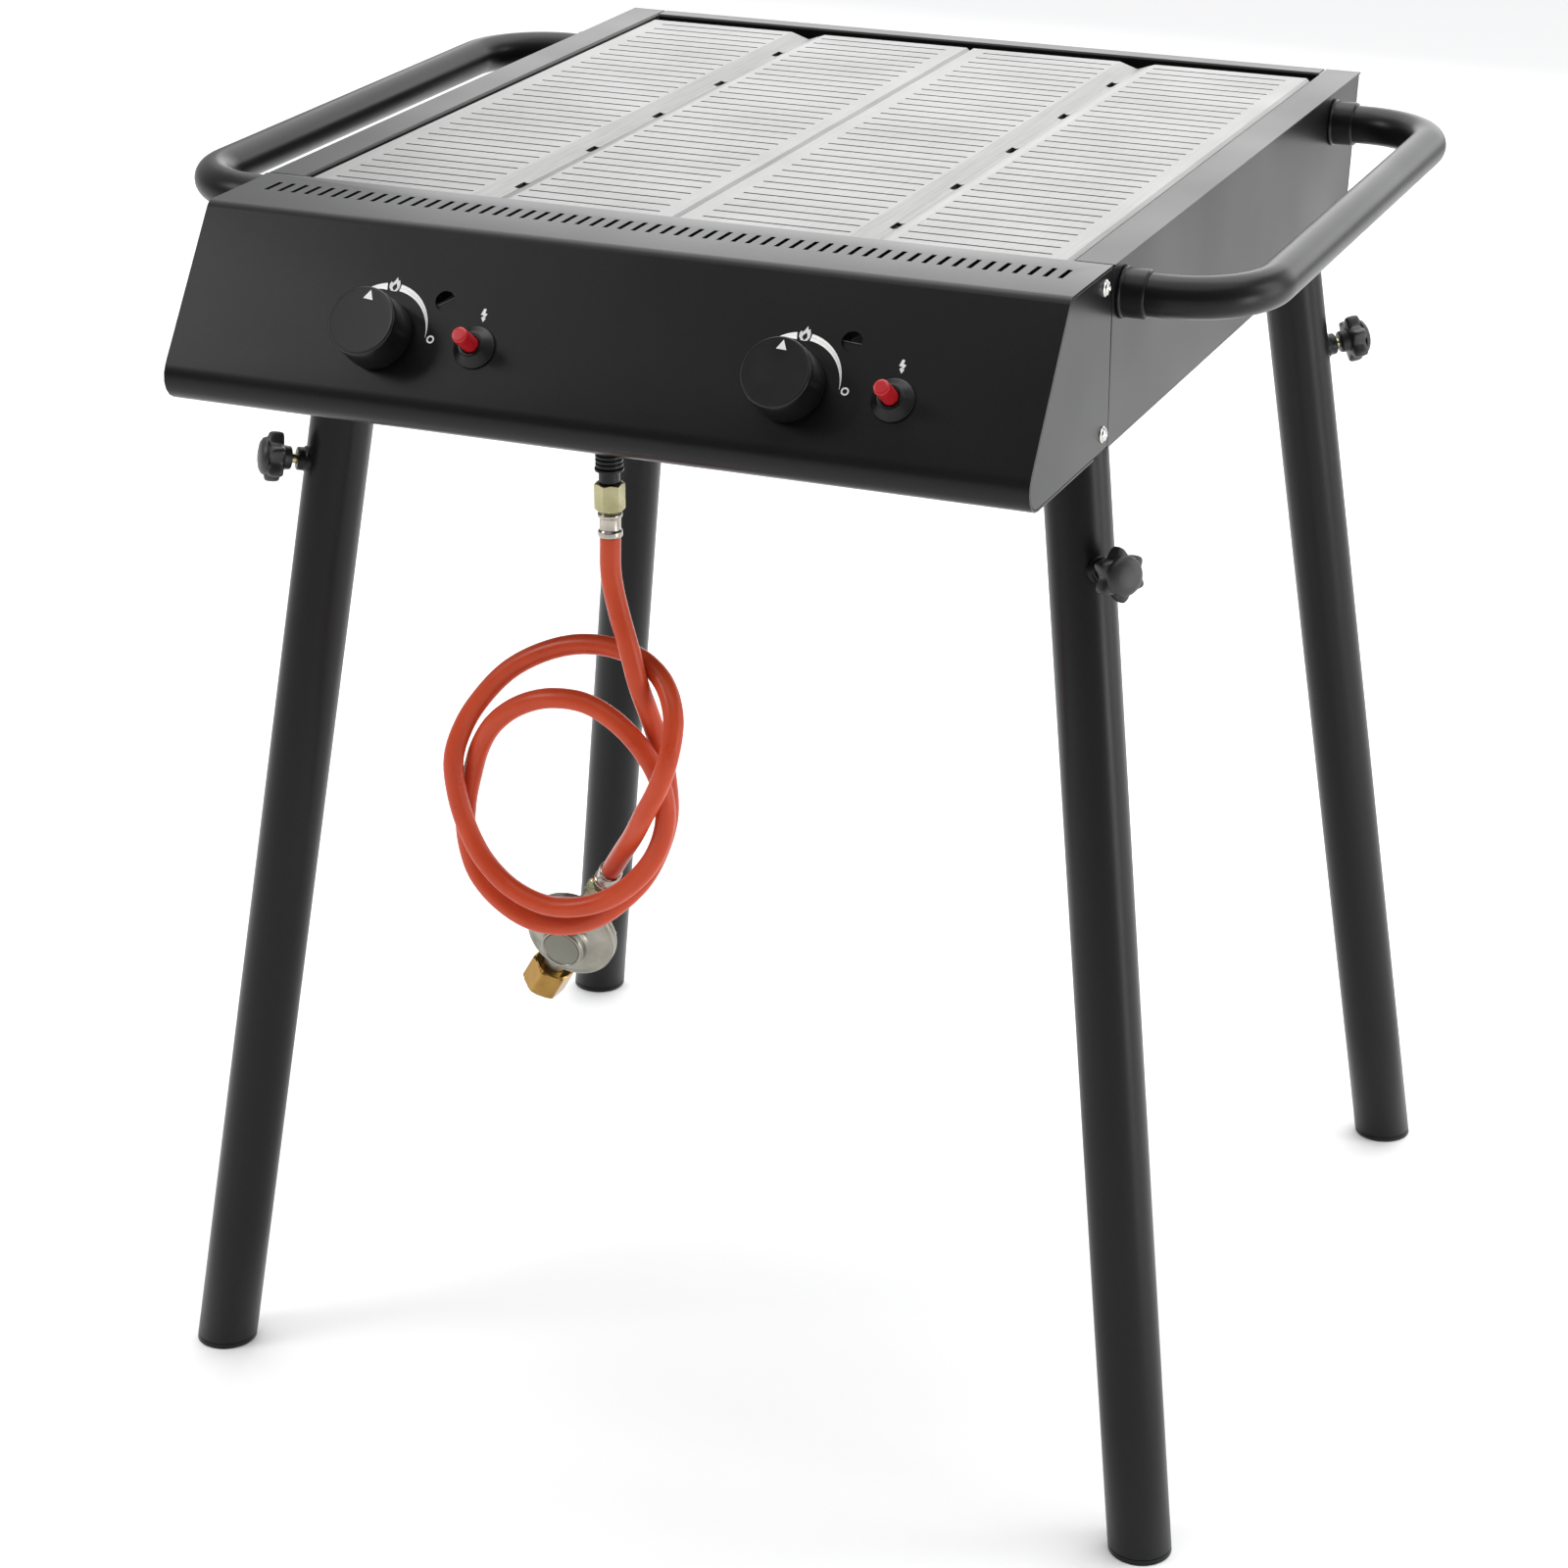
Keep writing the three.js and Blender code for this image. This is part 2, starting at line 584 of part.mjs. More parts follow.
KNOB_X.forEach((x, i) => {
  const side = SIDES[i][0];
  const frame = controlFrame(x);
  add(frame, side + "_gas_valve", valve(), "brass");
  const [sleeveIn, sleeveOut] = [SPINDLE_RADIUS + RUNNING, VALVE.bore - RUNNING];
  const sleeveFrom = PUSH_TRAVEL + 3 - VALVE.boreEnd;
  const sleeve = [[sleeveIn, sleeveFrom], [sleeveOut, sleeveFrom], [sleeveOut, -4], [sleeveIn, -4]];
  add(frame, side + "_push_sleeve", turnedRing(sleeve, 12), "brass");
  const spindleFrom = PUSH_TRAVEL + 1 - VALVE.boreEnd;
  const spindle = bar(SPINDLE_RADIUS, spindleFrom, KNOB.height - KNOB.face - 6 - GAP, 12);
  add(frame, side + "_spindle", spindle, "brass");
  add(frame, side + "_knob", knob(), "blackPlastic");
  model.add(frame);

  const igniter = controlFrame(x + IGNITER_OFFSET);
  const bore = BUTTON.radius + RUNNING;
  const collar = [
    [bore, GAP], [COLLAR.foot, GAP], [COLLAR.foot, 2], [COLLAR.top, COLLAR.height], [bore, COLLAR.height],
  ];
  add(igniter, side + "_igniter_collar", turnedRing(collar, 20), "blackPlastic");
  const piezoFront = -SHEET - GAP;
  const piezo = [
    [0, -PIEZO.length], [PIEZO.radius, -PIEZO.length], [PIEZO.radius, piezoFront], [bore, piezoFront],
    [bore, -BUTTON.root - BUTTON.travel - SLIDE_GAP], [0, -BUTTON.root - BUTTON.travel - SLIDE_GAP],
  ];
  add(igniter, side + "_igniter_body", turned(piezo, 16), "blackPlastic");
  const button = [
    [0, -BUTTON.root], [BUTTON.radius, -BUTTON.root], [BUTTON.radius, BUTTON.proud - 1.2],
    [BUTTON.radius - 1.2, BUTTON.proud], [0, BUTTON.proud],
  ];
  add(igniter, side + "_igniter_button", turned(button, 16), "redPlastic");
  model.add(igniter);

  const jetTip = vector(0, 0, -MANIFOLD.along)
    .addScaledVector(backAlongBurner, JET_LENGTH + 2)
    .applyMatrix4(frame.matrix);
  add(model, side + "_burner", burner(jetTip.y), "stainless").position.set(x, 0, burnerLevel);
  const needle = [
    [0, 0], [ELECTRODE.radius, 0], [ELECTRODE.radius, ELECTRODE.length], [ELECTRODE.needle, ELECTRODE.length],
    [ELECTRODE.needle, ELECTRODE.length + ELECTRODE.reach], [0, ELECTRODE.length + ELECTRODE.reach],
  ];
  add(model, side + "_spark_electrode", turned(needle, 12).rotateX(-Math.PI / 2), "ceramic")
    .position.set(x + ELECTRODE.aside, shieldY - 8, electrodeLevel);
});

const [manifoldY, manifoldZ] = onFace(CONTROL_DOWN + MANIFOLD.below, -MANIFOLD.along);
add(
  model,
  "gas_manifold",
  bar(MANIFOLD.radius, KNOB_X[0] - MANIFOLD.overhang, KNOB_X[1] + MANIFOLD.overhang, 16).rotateY(Math.PI / 2),
  "castAluminium",
).position.set(0, manifoldY, manifoldZ);

// ---- drip tray, which slides out of the back on the base pan ----
function dripTray() {
  const { height, width, wall, front, lip } = TRAY;
  const end = backFaceY(trayLevel) + GAP;
  const [z0, z1] = [trayLevel, trayLevel + height];
  const tray = block(-width / 2, width / 2, front, end, z0, z1);
  const hollow = block(wall - width / 2, width / 2 - wall, front + wall, end - wall, z0 + wall, z1 + wall);
  const pull = block(-width / 6, width / 6, end - wall, end + lip, z1 - 3 - wall, z1 - 3);
  return join(cut(tray, hollow), pull);
}

add(model, "drip_tray", dripTray(), "galvanised");

// ---- handles: a bent tube on each side ----
function handlePath() {
  const { reach, from, to, bend } = HANDLE;
  const out = halfWidth + reach;
  const stations = [{ point: vector(halfWidth + GAP, from, 0), tangent: vector(1, 0, 0) }];
  const bendSteps = 6;
  for (const [centreY, start] of [[from + bend, -Math.PI / 2], [to - bend, 0]]) {
    for (let k = 0; k <= bendSteps; k++) {
      const a = start + ((Math.PI / 2) * k) / bendSteps;
      stations.push({
        point: vector(out - bend + bend * Math.cos(a), centreY + bend * Math.sin(a), 0),
        tangent: vector(-Math.sin(a), Math.cos(a), 0),
      });
    }
  }
  stations.push({ point: vector(halfWidth + GAP, to, 0), tangent: vector(-1, 0, 0) });
  return new StationPath(stations);
}

function ring(radius, wall, sides) {
  const circle = (r) =>
    Array.from({ length: sides }, (_, i) => {
      const a = (2 * Math.PI * i) / sides;
      return new THREE.Vector2(r * Math.cos(a), r * Math.sin(a));
    });
  const shape = new THREE.Shape(circle(radius));
  if (wall) shape.holes.push(new THREE.Path(circle(radius - wall).reverse()));
  return shape;
}

const sweep = (section, path, steps) => new THREE.ExtrudeGeometry(section, { steps, extrudePath: path });

for (const [side, sign] of SIDES) {
  const path = handlePath();
  const tube = sweep(ring(HANDLE.radius, HANDLE.wall, 12), path, path.stations.length - 1);
  if (sign < 0) tube.rotateZ(Math.PI).translate(0, HANDLE.from + HANDLE.to, 0);
  add(model, side + "_handle", tube, "blackPowder").position.z = TOP_HEIGHT - HANDLE.below;
}

// ---- legs: a tube over a stub, clamped by a star knob ----
// In a leg's frame Z runs up the leg from its top centre, and X points out of its splay.
const legTop = baseLevel - 2 * GAP;

function star() {
  const outline = Array.from({ length: STAR.lobes * 6 }, (_, i) => {
    const a = (2 * Math.PI * i) / (STAR.lobes * 6);
    const middle = (STAR.radius + STAR.valley) / 2;
    const r = middle + ((STAR.radius - STAR.valley) / 2) * Math.cos(STAR.lobes * a);
    return [r * Math.cos(a), r * Math.sin(a)];
  });
  const base = CLAMP.knobFrom + STAR.hubHeight;
  const lobes = prism(outline, "z", base, base + STAR.thick);
  const core = turned(
    [
      [0, CLAMP.knobFrom], [STAR.hub, CLAMP.knobFrom], [STAR.hub, base + 1], [STAR.dome, base + 1],
      [STAR.dome, base + STAR.thick + 1], [STAR.dome * 0.75, base + STAR.thick + STAR.rise * 0.7],
      [0, base + STAR.thick + STAR.rise],
    ],
    18,
  );
  const bore = bar(CLAMP.stud + RUNNING, CLAMP.knobFrom - 1, CLAMP.tip - 8, 12);
  return cut(join(lobes, core), bore);
}

for (const [end, endSign] of [["front", -1], ["rear", 1]]) {
  for (const [side, sign] of SIDES) {
    const top = vector(
      sign * (halfWidth - LEG.insetX),
      endSign < 0 ? LEG.front : BODY_LENGTH - LEG.back,
      legTop,
    );
    const foot = vector(top.x + sign * LEG_SPREAD.x, top.y + endSign * LEG_SPREAD.y, 0);
    const up = top.clone().sub(foot).normalize();
    const leg = frameAt(top, up, vector(sign * LEG_SPREAD.x, endSign * LEG_SPREAD.y, 0));
    const length = top.distanceTo(foot);
    const inLeg = leg.matrix.clone().invert();
    const reach = 4 * LEG.radius;
    // Everything between two levels of the model, near the leg.
    const slab = (low, high) =>
      block(
        Math.min(top.x, foot.x) - reach, Math.max(top.x, foot.x) + reach,
        Math.min(top.y, foot.y) - reach, Math.max(top.y, foot.y) + reach, low, high,
      ).applyMatrix4(inLeg);
    const outside = bar(LEG.radius, -length - reach, reach, 20);
    const bore = geometryOf(
      solid(bar(LEG.radius - LEG.wall, -length - reach, reach, 20)).subtract(solid(slab(-reach, LEG.cap))),
    );
    const boss = bar(CLAMP.boss, LEG.radius - 2, LEG.radius + CLAMP.bossHeight, 12).rotateY(Math.PI / 2);
    const studHole = bar(CLAMP.stud + RUNNING, 0, LEG.radius + 2 * CLAMP.bossHeight, 12).rotateY(Math.PI / 2);
    const bossAt = [0, 0, -CLAMP.drop];
    const tube = cut(
      join(outside, boss.translate(...bossAt)),
      slab(legTop, legTop + 2 * reach),
      slab(-2 * reach, 0),
      bore,
      studHole.translate(...bossAt),
    );
    add(leg, `${end}_${side}_leg`, tube, "blackPowder");

    const stubRadius = LEG.radius - LEG.wall - STUB.clearance;
    const stub = cut(
      bar(stubRadius, -STUB.length, reach, 20),
      bar(stubRadius - STUB.wall, -STUB.length - 1, reach + 1, 20),
      slab(baseLevel - GAP, baseLevel + 2 * reach),
    );
    add(leg, `${end}_${side}_stub`, stub, "galvanised");

    const clamp = frameAt(vector(...bossAt), vector(1, 0, 0), vector(0, 0, 1));
    const stud = bar(CLAMP.stud, stubRadius + GAP, CLAMP.tip - 8 - GAP, 12);
    add(clamp, `${end}_${side}_clamp_stud`, stud, "nickel");
    add(clamp, `${end}_${side}_star_knob`, star(), "blackPlastic");
    leg.add(clamp);
    model.add(leg);
  }
}

// ---- gas inlet, hose and regulator ----
const inletTop = manifoldZ - MANIFOLD.radius - GAP;
const inlet = frameAt(vector(INLET.x, inletY, baseLevel), vector(0, 0, -1), vector(1, 0, 0)); // Z points down
const risen = baseLevel - inletTop;
add(
  inlet,
  "gas_inlet",
  turned([
    [0, risen], [INLET.radius, risen], [INLET.radius, INLET.collarFrom], [INLET.collar, INLET.collarFrom],
    [INLET.collar, INLET.collarTo], [INLET.radius, INLET.collarTo], [INLET.radius, INLET.end], [0, INLET.end],
  ], 16),
  "blackPowder",
);

const acrossCorners = (flats) => flats / Math.cos(Math.PI / 6);
const hexNut = () => bar(acrossCorners(HOSE_NUT.flats) / 2, 0, HOSE_NUT.length, 6);
const ferrule = () => bar(FERRULE.radius, 0, FERRULE.length, 14);

const nutFrom = INLET.end + GAP;
const ferruleFrom = nutFrom + HOSE_NUT.length + GAP;
add(inlet, "hose_nut_upper", hexNut(), "nickel").position.z = nutFrom;
add(inlet, "ferrule_upper", ferrule(), "satinSteel").position.z = ferruleFrom;
model.add(inlet);

const hoseExit = vector(INLET.x, inletY, baseLevel - ferruleFrom - FERRULE.length - GAP);
const routePoints = HOSE_ROUTE.map((point) => vector(...point));
const route = new THREE.CatmullRomCurve3(routePoints, false, "catmullrom", 0.5);
const hose = add(model, "gas_hose", sweep(ring(HOSE_RADIUS, 0, 8), route, 76), "orangeRubber");
hose.position.copy(hoseExit);

const hoseEnd = route.getPoint(1).add(hoseExit);
const tail = frameAt(hoseEnd, route.getTangent(1), vector(0, -1, 0)); // Z runs on along the hose
const tailNut = GAP + FERRULE.length + GAP;
add(tail, "ferrule_lower", ferrule(), "satinSteel").position.z = GAP;
add(tail, "hose_nut_lower", hexNut(), "nickel").position.z = tailNut;
model.add(tail);

// The regulator's outlet carries on along the tail; its housing faces the front and its inlet points down.
const spigotFrom = tailNut + HOSE_NUT.length + GAP;
const bodyAlong = spigotFrom + REGULATOR.along;
const bodyCentre = vector(0, 0, bodyAlong).applyMatrix4(tail.matrix);
const housing = frameAt(bodyCentre, vector(...REGULATOR.inletWay), vector(...REGULATOR.capWay));

function regulator() {
  const { ahead, radius, rim, back, body, neck, front, cap, capFront, spigot, collar } = REGULATOR;
  const disc = turned(
    [
      [0, -back], [body - 2, -back], [body, 2 - back], [body, -neck], [radius - 7, -rim - 2], [radius, -rim],
      [radius, 3], [radius - 3, 6], [cap + 8, front], [cap + 1, front + 3.5],
      [cap + 1, capFront - 1.5], [cap - 0.5, capFront], [0, capFront],
    ],
    24,
  );
  const facing = disc.rotateY(Math.PI / 2).translate(ahead, 0, 0);
  const outlet = bar(spigot - 1, spigotFrom, bodyAlong, 14)
    .applyMatrix4(tail.matrix)
    .applyMatrix4(housing.matrix.clone().invert());
  const stemEnd = UNION.from + UNION.length - UNION.mouthDepth;
  const inletStem = bar(spigot, 0, stemEnd, 14);
  const lip = bar(collar, stemEnd, stemEnd + 2.4, 14);
  return join(facing, outlet, inletStem, lip);
}

add(housing, "regulator", regulator(), "castAluminium");

function unionNut() {
  const { flats, length, from, mouth, mouthDepth } = UNION;
  const step = length - mouthDepth - GAP;
  const hex = bar(acrossCorners(flats) / 2, 0, length, 6);
  const stemBore = bar(REGULATOR.spigot + RUNNING * 2, -1, step + 1, 16);
  const threads = bar(mouth, step, length + 1, 20);
  return cut(hex, stemBore, threads).translate(0, 0, from);
}

add(housing, "union_nut", unionNut(), "brass");
model.add(housing);

// ---- origin: on the floor, under the middle of everything but the hose and what it carries ----
const ON_THE_HOSE = [
  "hose_nut_upper", "ferrule_upper", "gas_hose", "ferrule_lower", "hose_nut_lower", "regulator", "union_nut",
];
model.updateMatrixWorld(true);
const footprint = new THREE.Box3();
model.traverse((piece) => {
  if (piece.isMesh && !ON_THE_HOSE.includes(piece.name)) footprint.expandByObject(piece, true);
});
const middle = footprint.getCenter(vector(0, 0, 0));
model.position.set(-middle.x, -middle.y, 0);

const grill = new THREE.Group();
grill.add(model);
grill.updateMatrixWorld(true);

export default grill;
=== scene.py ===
"""Looks of a two-burner outdoor gas charbroiler on four clamped tube legs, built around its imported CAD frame.

Lengths in the classes are millimetres, in the body's own coordinates: x to the cook's right, y from
the front ends of the side rails towards the back, z up from the floor. The datum turns them into
metres in the frame.
"""

from __future__ import annotations

import json
import logging
import math
from dataclasses import dataclass, field
from enum import Enum
from typing import Any, Iterable, Sequence

import bmesh
import bpy
import numpy as np
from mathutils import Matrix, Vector

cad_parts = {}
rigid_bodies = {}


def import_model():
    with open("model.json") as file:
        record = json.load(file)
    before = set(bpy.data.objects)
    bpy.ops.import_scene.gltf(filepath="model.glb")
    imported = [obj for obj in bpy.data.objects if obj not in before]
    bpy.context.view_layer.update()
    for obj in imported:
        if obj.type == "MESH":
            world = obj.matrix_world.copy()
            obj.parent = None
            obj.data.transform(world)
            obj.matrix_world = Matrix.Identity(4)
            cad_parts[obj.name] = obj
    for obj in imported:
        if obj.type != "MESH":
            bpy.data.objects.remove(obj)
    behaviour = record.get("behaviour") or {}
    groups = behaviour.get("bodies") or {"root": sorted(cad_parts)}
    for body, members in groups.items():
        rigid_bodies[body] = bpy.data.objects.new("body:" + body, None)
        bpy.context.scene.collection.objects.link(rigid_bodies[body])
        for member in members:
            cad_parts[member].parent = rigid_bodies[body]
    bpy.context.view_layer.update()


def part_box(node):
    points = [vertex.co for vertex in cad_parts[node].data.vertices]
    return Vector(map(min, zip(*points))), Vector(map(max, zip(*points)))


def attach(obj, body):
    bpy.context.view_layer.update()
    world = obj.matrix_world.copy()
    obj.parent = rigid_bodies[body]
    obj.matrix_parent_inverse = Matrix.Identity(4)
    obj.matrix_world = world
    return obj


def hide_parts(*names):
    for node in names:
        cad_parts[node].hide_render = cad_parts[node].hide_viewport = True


LOG = logging.getLogger("charbroiler")
MM = 0.001
TAU = 2 * math.pi
GRILL = "grill"  # the body that everything fixed belongs to

Array = np.ndarray
Points = Sequence[Sequence[float]]


# --------------------------------------------------------------------------------------------------
# Frames and surfaces
# --------------------------------------------------------------------------------------------------


class Side(Enum):
    """A side of the grill, as the cook sees it, with the sign of its x."""

    LEFT = -1
    RIGHT = 1

    @property
    def word(self) -> str:
        """The side's name in the names of nodes and pieces."""
        return self.name.lower()


class End(Enum):
    """An end of the grill, with the sign of its y."""

    FRONT = -1
    REAR = 1

    @property
    def word(self) -> str:
        """The end's name in the names of nodes and pieces."""
        return self.name.lower()


@dataclass(frozen=True)
class Basis:
    """An origin and three unit axes, in body millimetres, that put local points in place."""

    origin: Array
    x: Array
    y: Array
    z: Array

    @classmethod
    def at(cls, origin: Sequence[float], z_axis: Sequence[float], x_hint: Sequence[float]) -> "Basis":
        """Makes a basis whose z is along one direction and whose x is as near as it can be to another.

        Args:
            origin: The basis's own zero, in body millimetres.
            z_axis: The direction of z, of any length.
            x_hint: A direction that isn't along z.

        Returns:
            The basis: x is the hint less its share along z, and y is z cross x.
        """
        z = unit(z_axis)
        hint = np.asarray(x_hint, float)
        x = unit(hint - z * (hint @ z))
        return cls(np.asarray(origin, float), x, np.cross(z, x), z)

    def place(self, points: Array) -> Array:
        """Moves local points into the body: origin + a x + b y + c z for each local (a, b, c)."""
        axes = np.stack([self.x, self.y, self.z])
        return self.origin + points @ axes

    def shifted(self, a: float, b: float, c: float) -> "Basis":
        """Returns the same axes with their origin at the local point (a, b, c)."""
        return Basis(self.place(np.array([a, b, c], float)), self.x, self.y, self.z)


UPRIGHT = Basis(np.zeros(3), np.array([1.0, 0, 0]), np.array([0, 1.0, 0]), np.array([0, 0, 1.0]))


@dataclass
class Datum:
    """Where the body's coordinates lie in the frame: the front ends of the rails are at y = front metres."""

    front: float = 0.0

    def metres(self, points: Array) -> Array:
        """Turns body millimetres into metres in the frame."""
        moved = np.asarray(points, float) * MM
        moved[..., 1] += self.front
        return moved

    def point(self, x: float, y: float, z: float) -> tuple[float, float, float]:
        """Turns one point of the body into metres in the frame."""
        return tuple(float(c) for c in self.metres(np.array([x, y, z])))


def unit(vector: Sequence[float] | Array) -> Array:
    """Scales a vector, or each row of an array of them, to length 1."""
    v = np.asarray(vector, float)
    return v / np.linalg.norm(v, axis=-1, keepdims=True)


def rounded_profile(corners: Points, steps: int = 4) -> Array:
    """Rounds the corners of a polyline.

    Each corner [a, b, radius] becomes an arc that is tangent to both its sides: it starts radius x
    tan(turn / 2) before the corner, and is a quadratic blend of the two tangent points and the
    corner.

    Args:
        corners: Points [a, b] or [a, b, radius], in the order in which the line runs.
        steps: How many chords stand for each arc.

    Returns:
        The points of the rounded line, one [a, b] in each row.
    """
    points = [np.array(c[:2], float) for c in corners]
    rows: list[Array] = []
    t = np.linspace(0, 1, steps + 1)[:, None]
    for i, corner in enumerate(corners):
        radius = corner[2] if len(corner) > 2 else 0
        if radius <= 0 or i in (0, len(corners) - 1):
            rows.append(points[i][None])
            continue
        before, after = points[i - 1] - points[i], points[i + 1] - points[i]
        reach = min(radius, 0.49 * np.linalg.norm(before), 0.49 * np.linalg.norm(after))
        a, c = points[i] + unit(before) * reach, points[i] + unit(after) * reach
        rows.append((1 - t) ** 2 * a + 2 * t * (1 - t) * points[i] + t**2 * c)
    return np.concatenate(rows)


def turned_grid(profile: Array, sides: int) -> Array:
    """A surface of revolution.

    Row i, column j is (r cos a, r sin a, z) for profile point i = (r, z) and angle a.

    Args:
        profile: The (r, z) points, from the low end of the outside to the high end.
        sides: How many columns go round.

    Returns:
        An array of rows x sides x 3.
    """
    angle = np.linspace(0, TAU, sides, endpoint=False)
    r, z = profile[:, :1], profile[:, 1:2]
    return np.stack([r * np.cos(angle), r * np.sin(angle), z + 0 * angle], axis=-1)


def ring_frames(path: Array) -> tuple[Array, Array]:
    """Two directions square to a path at each of its points, with as little twist as the path allows.

    The tangent is the difference of a point's neighbours. The first direction is carried from point
    to point by removing its share along each new tangent, and the second is the tangent cross the
    first.

    Args:
        path: The points of the path, one in each row.

    Returns:
        The two arrays of unit directions.
    """
    tangent = unit(np.gradient(path, axis=0))
    start = np.array([0.0, 0, 1]) if abs(tangent[0][2]) < 0.9 else np.array([1.0, 0, 0])
    first = np.empty_like(path)
    carried = unit(start - tangent[0] * (start @ tangent[0]))
    for i, t in enumerate(tangent):
        carried = unit(carried - t * (carried @ t))
        first[i] = carried
    return first, np.cross(tangent, first)


def tube_grid(path: Array, radius: Array | float, sides: int) -> Array:
    """A round tube: point i, column j is path i + radius i (cos a first + sin a second)."""
    first, second = ring_frames(path)
    angle = np.linspace(0, TAU, sides, endpoint=False)[None, :, None]
    r = np.broadcast_to(np.asarray(radius, float), (len(path),))[:, None, None]
    return path[:, None] + r * (np.cos(angle) * first[:, None] + np.sin(angle) * second[:, None])


def grid_faces(rows: int, columns: int, wrap_rows: bool = False, offset: int = 0) -> Array:
    """The quads of a grid whose columns close on themselves, each wound so that a turned piece faces out.

    Args:
        rows: How many rows of points there are.
        columns: How many points go round.
        wrap_rows: Whether the last row joins the first, as on a torus.
        offset: The index of the grid's first point.

    Returns:
        An array of quads, four indices in each row.
    """
    i = np.arange(rows if wrap_rows else rows - 1)[:, None]
    j = np.arange(columns)[None, :]
    down, right = (i + 1) % rows, (j + 1) % columns
    quads = np.stack(
        [i * columns + j, i * columns + right, down * columns + right, down * columns + j], axis=-1
    )
    return quads.reshape(-1, 4) + offset


@dataclass
class Surface:
    """Vertices and faces that are gathered from grids before they become one piece."""

    vertices: list[Array] = field(default_factory=list)
    faces: list[list[int]] = field(default_factory=list)
    count: int = 0

    def add(self, grid: Array, wrap_rows: bool = False, caps: bool = True) -> "Surface":
        """Adds a grid whose columns close on themselves, with a face over each end.

        Args:
            grid: Rows x columns x 3 points, in body millimetres.
            wrap_rows: Whether the last row joins the first.
            caps: Whether a face closes each end, where the rows don't join.

        Returns:
            The surface itself, so that calls can be chained.
        """
        rows, columns = grid.shape[:2]
        self.vertices.append(grid.reshape(-1, 3))
        self.faces.extend(grid_faces(rows, columns, wrap_rows, self.count).tolist())
        if caps and not wrap_rows:
            first = np.arange(columns) + self.count
            self.faces.append(first[::-1].tolist())
            self.faces.append((first + (rows - 1) * columns).tolist())
        self.count += rows * columns
        return self

    def join(self, other: "Surface") -> None:
        """Adds another surface's grids."""
        self.vertices.extend(other.vertices)
        self.faces.extend([[i + self.count for i in face] for face in other.faces])
        self.count += other.count

    def turned(
        self, corners: Points, basis: Basis = UPRIGHT, sides: int = 48, steps: int = 4
    ) -> "Surface":
        """Adds a turned body, placed by a basis; its [r, z, fillet] corners run up its outside."""
        profile = rounded_profile(corners, steps)
        return self.add(basis.place(turned_grid(profile, sides)))

    def ring(self, corners: Points, basis: Basis = UPRIGHT, sides: int = 48, steps: int = 3) -> "Surface":
        """Adds a turned ring, placed by a basis; its [r, z, fillet] corners go round its section."""
        middle = [(np.array(corners[0][:2]) + np.array(corners[-1][:2])) / 2]
        line = [middle[0].tolist(), *[list(c) for c in corners], middle[0].tolist()]
        profile = rounded_profile(line, steps)[:-1]
        return self.add(basis.place(turned_grid(profile, sides)), wrap_rows=True)


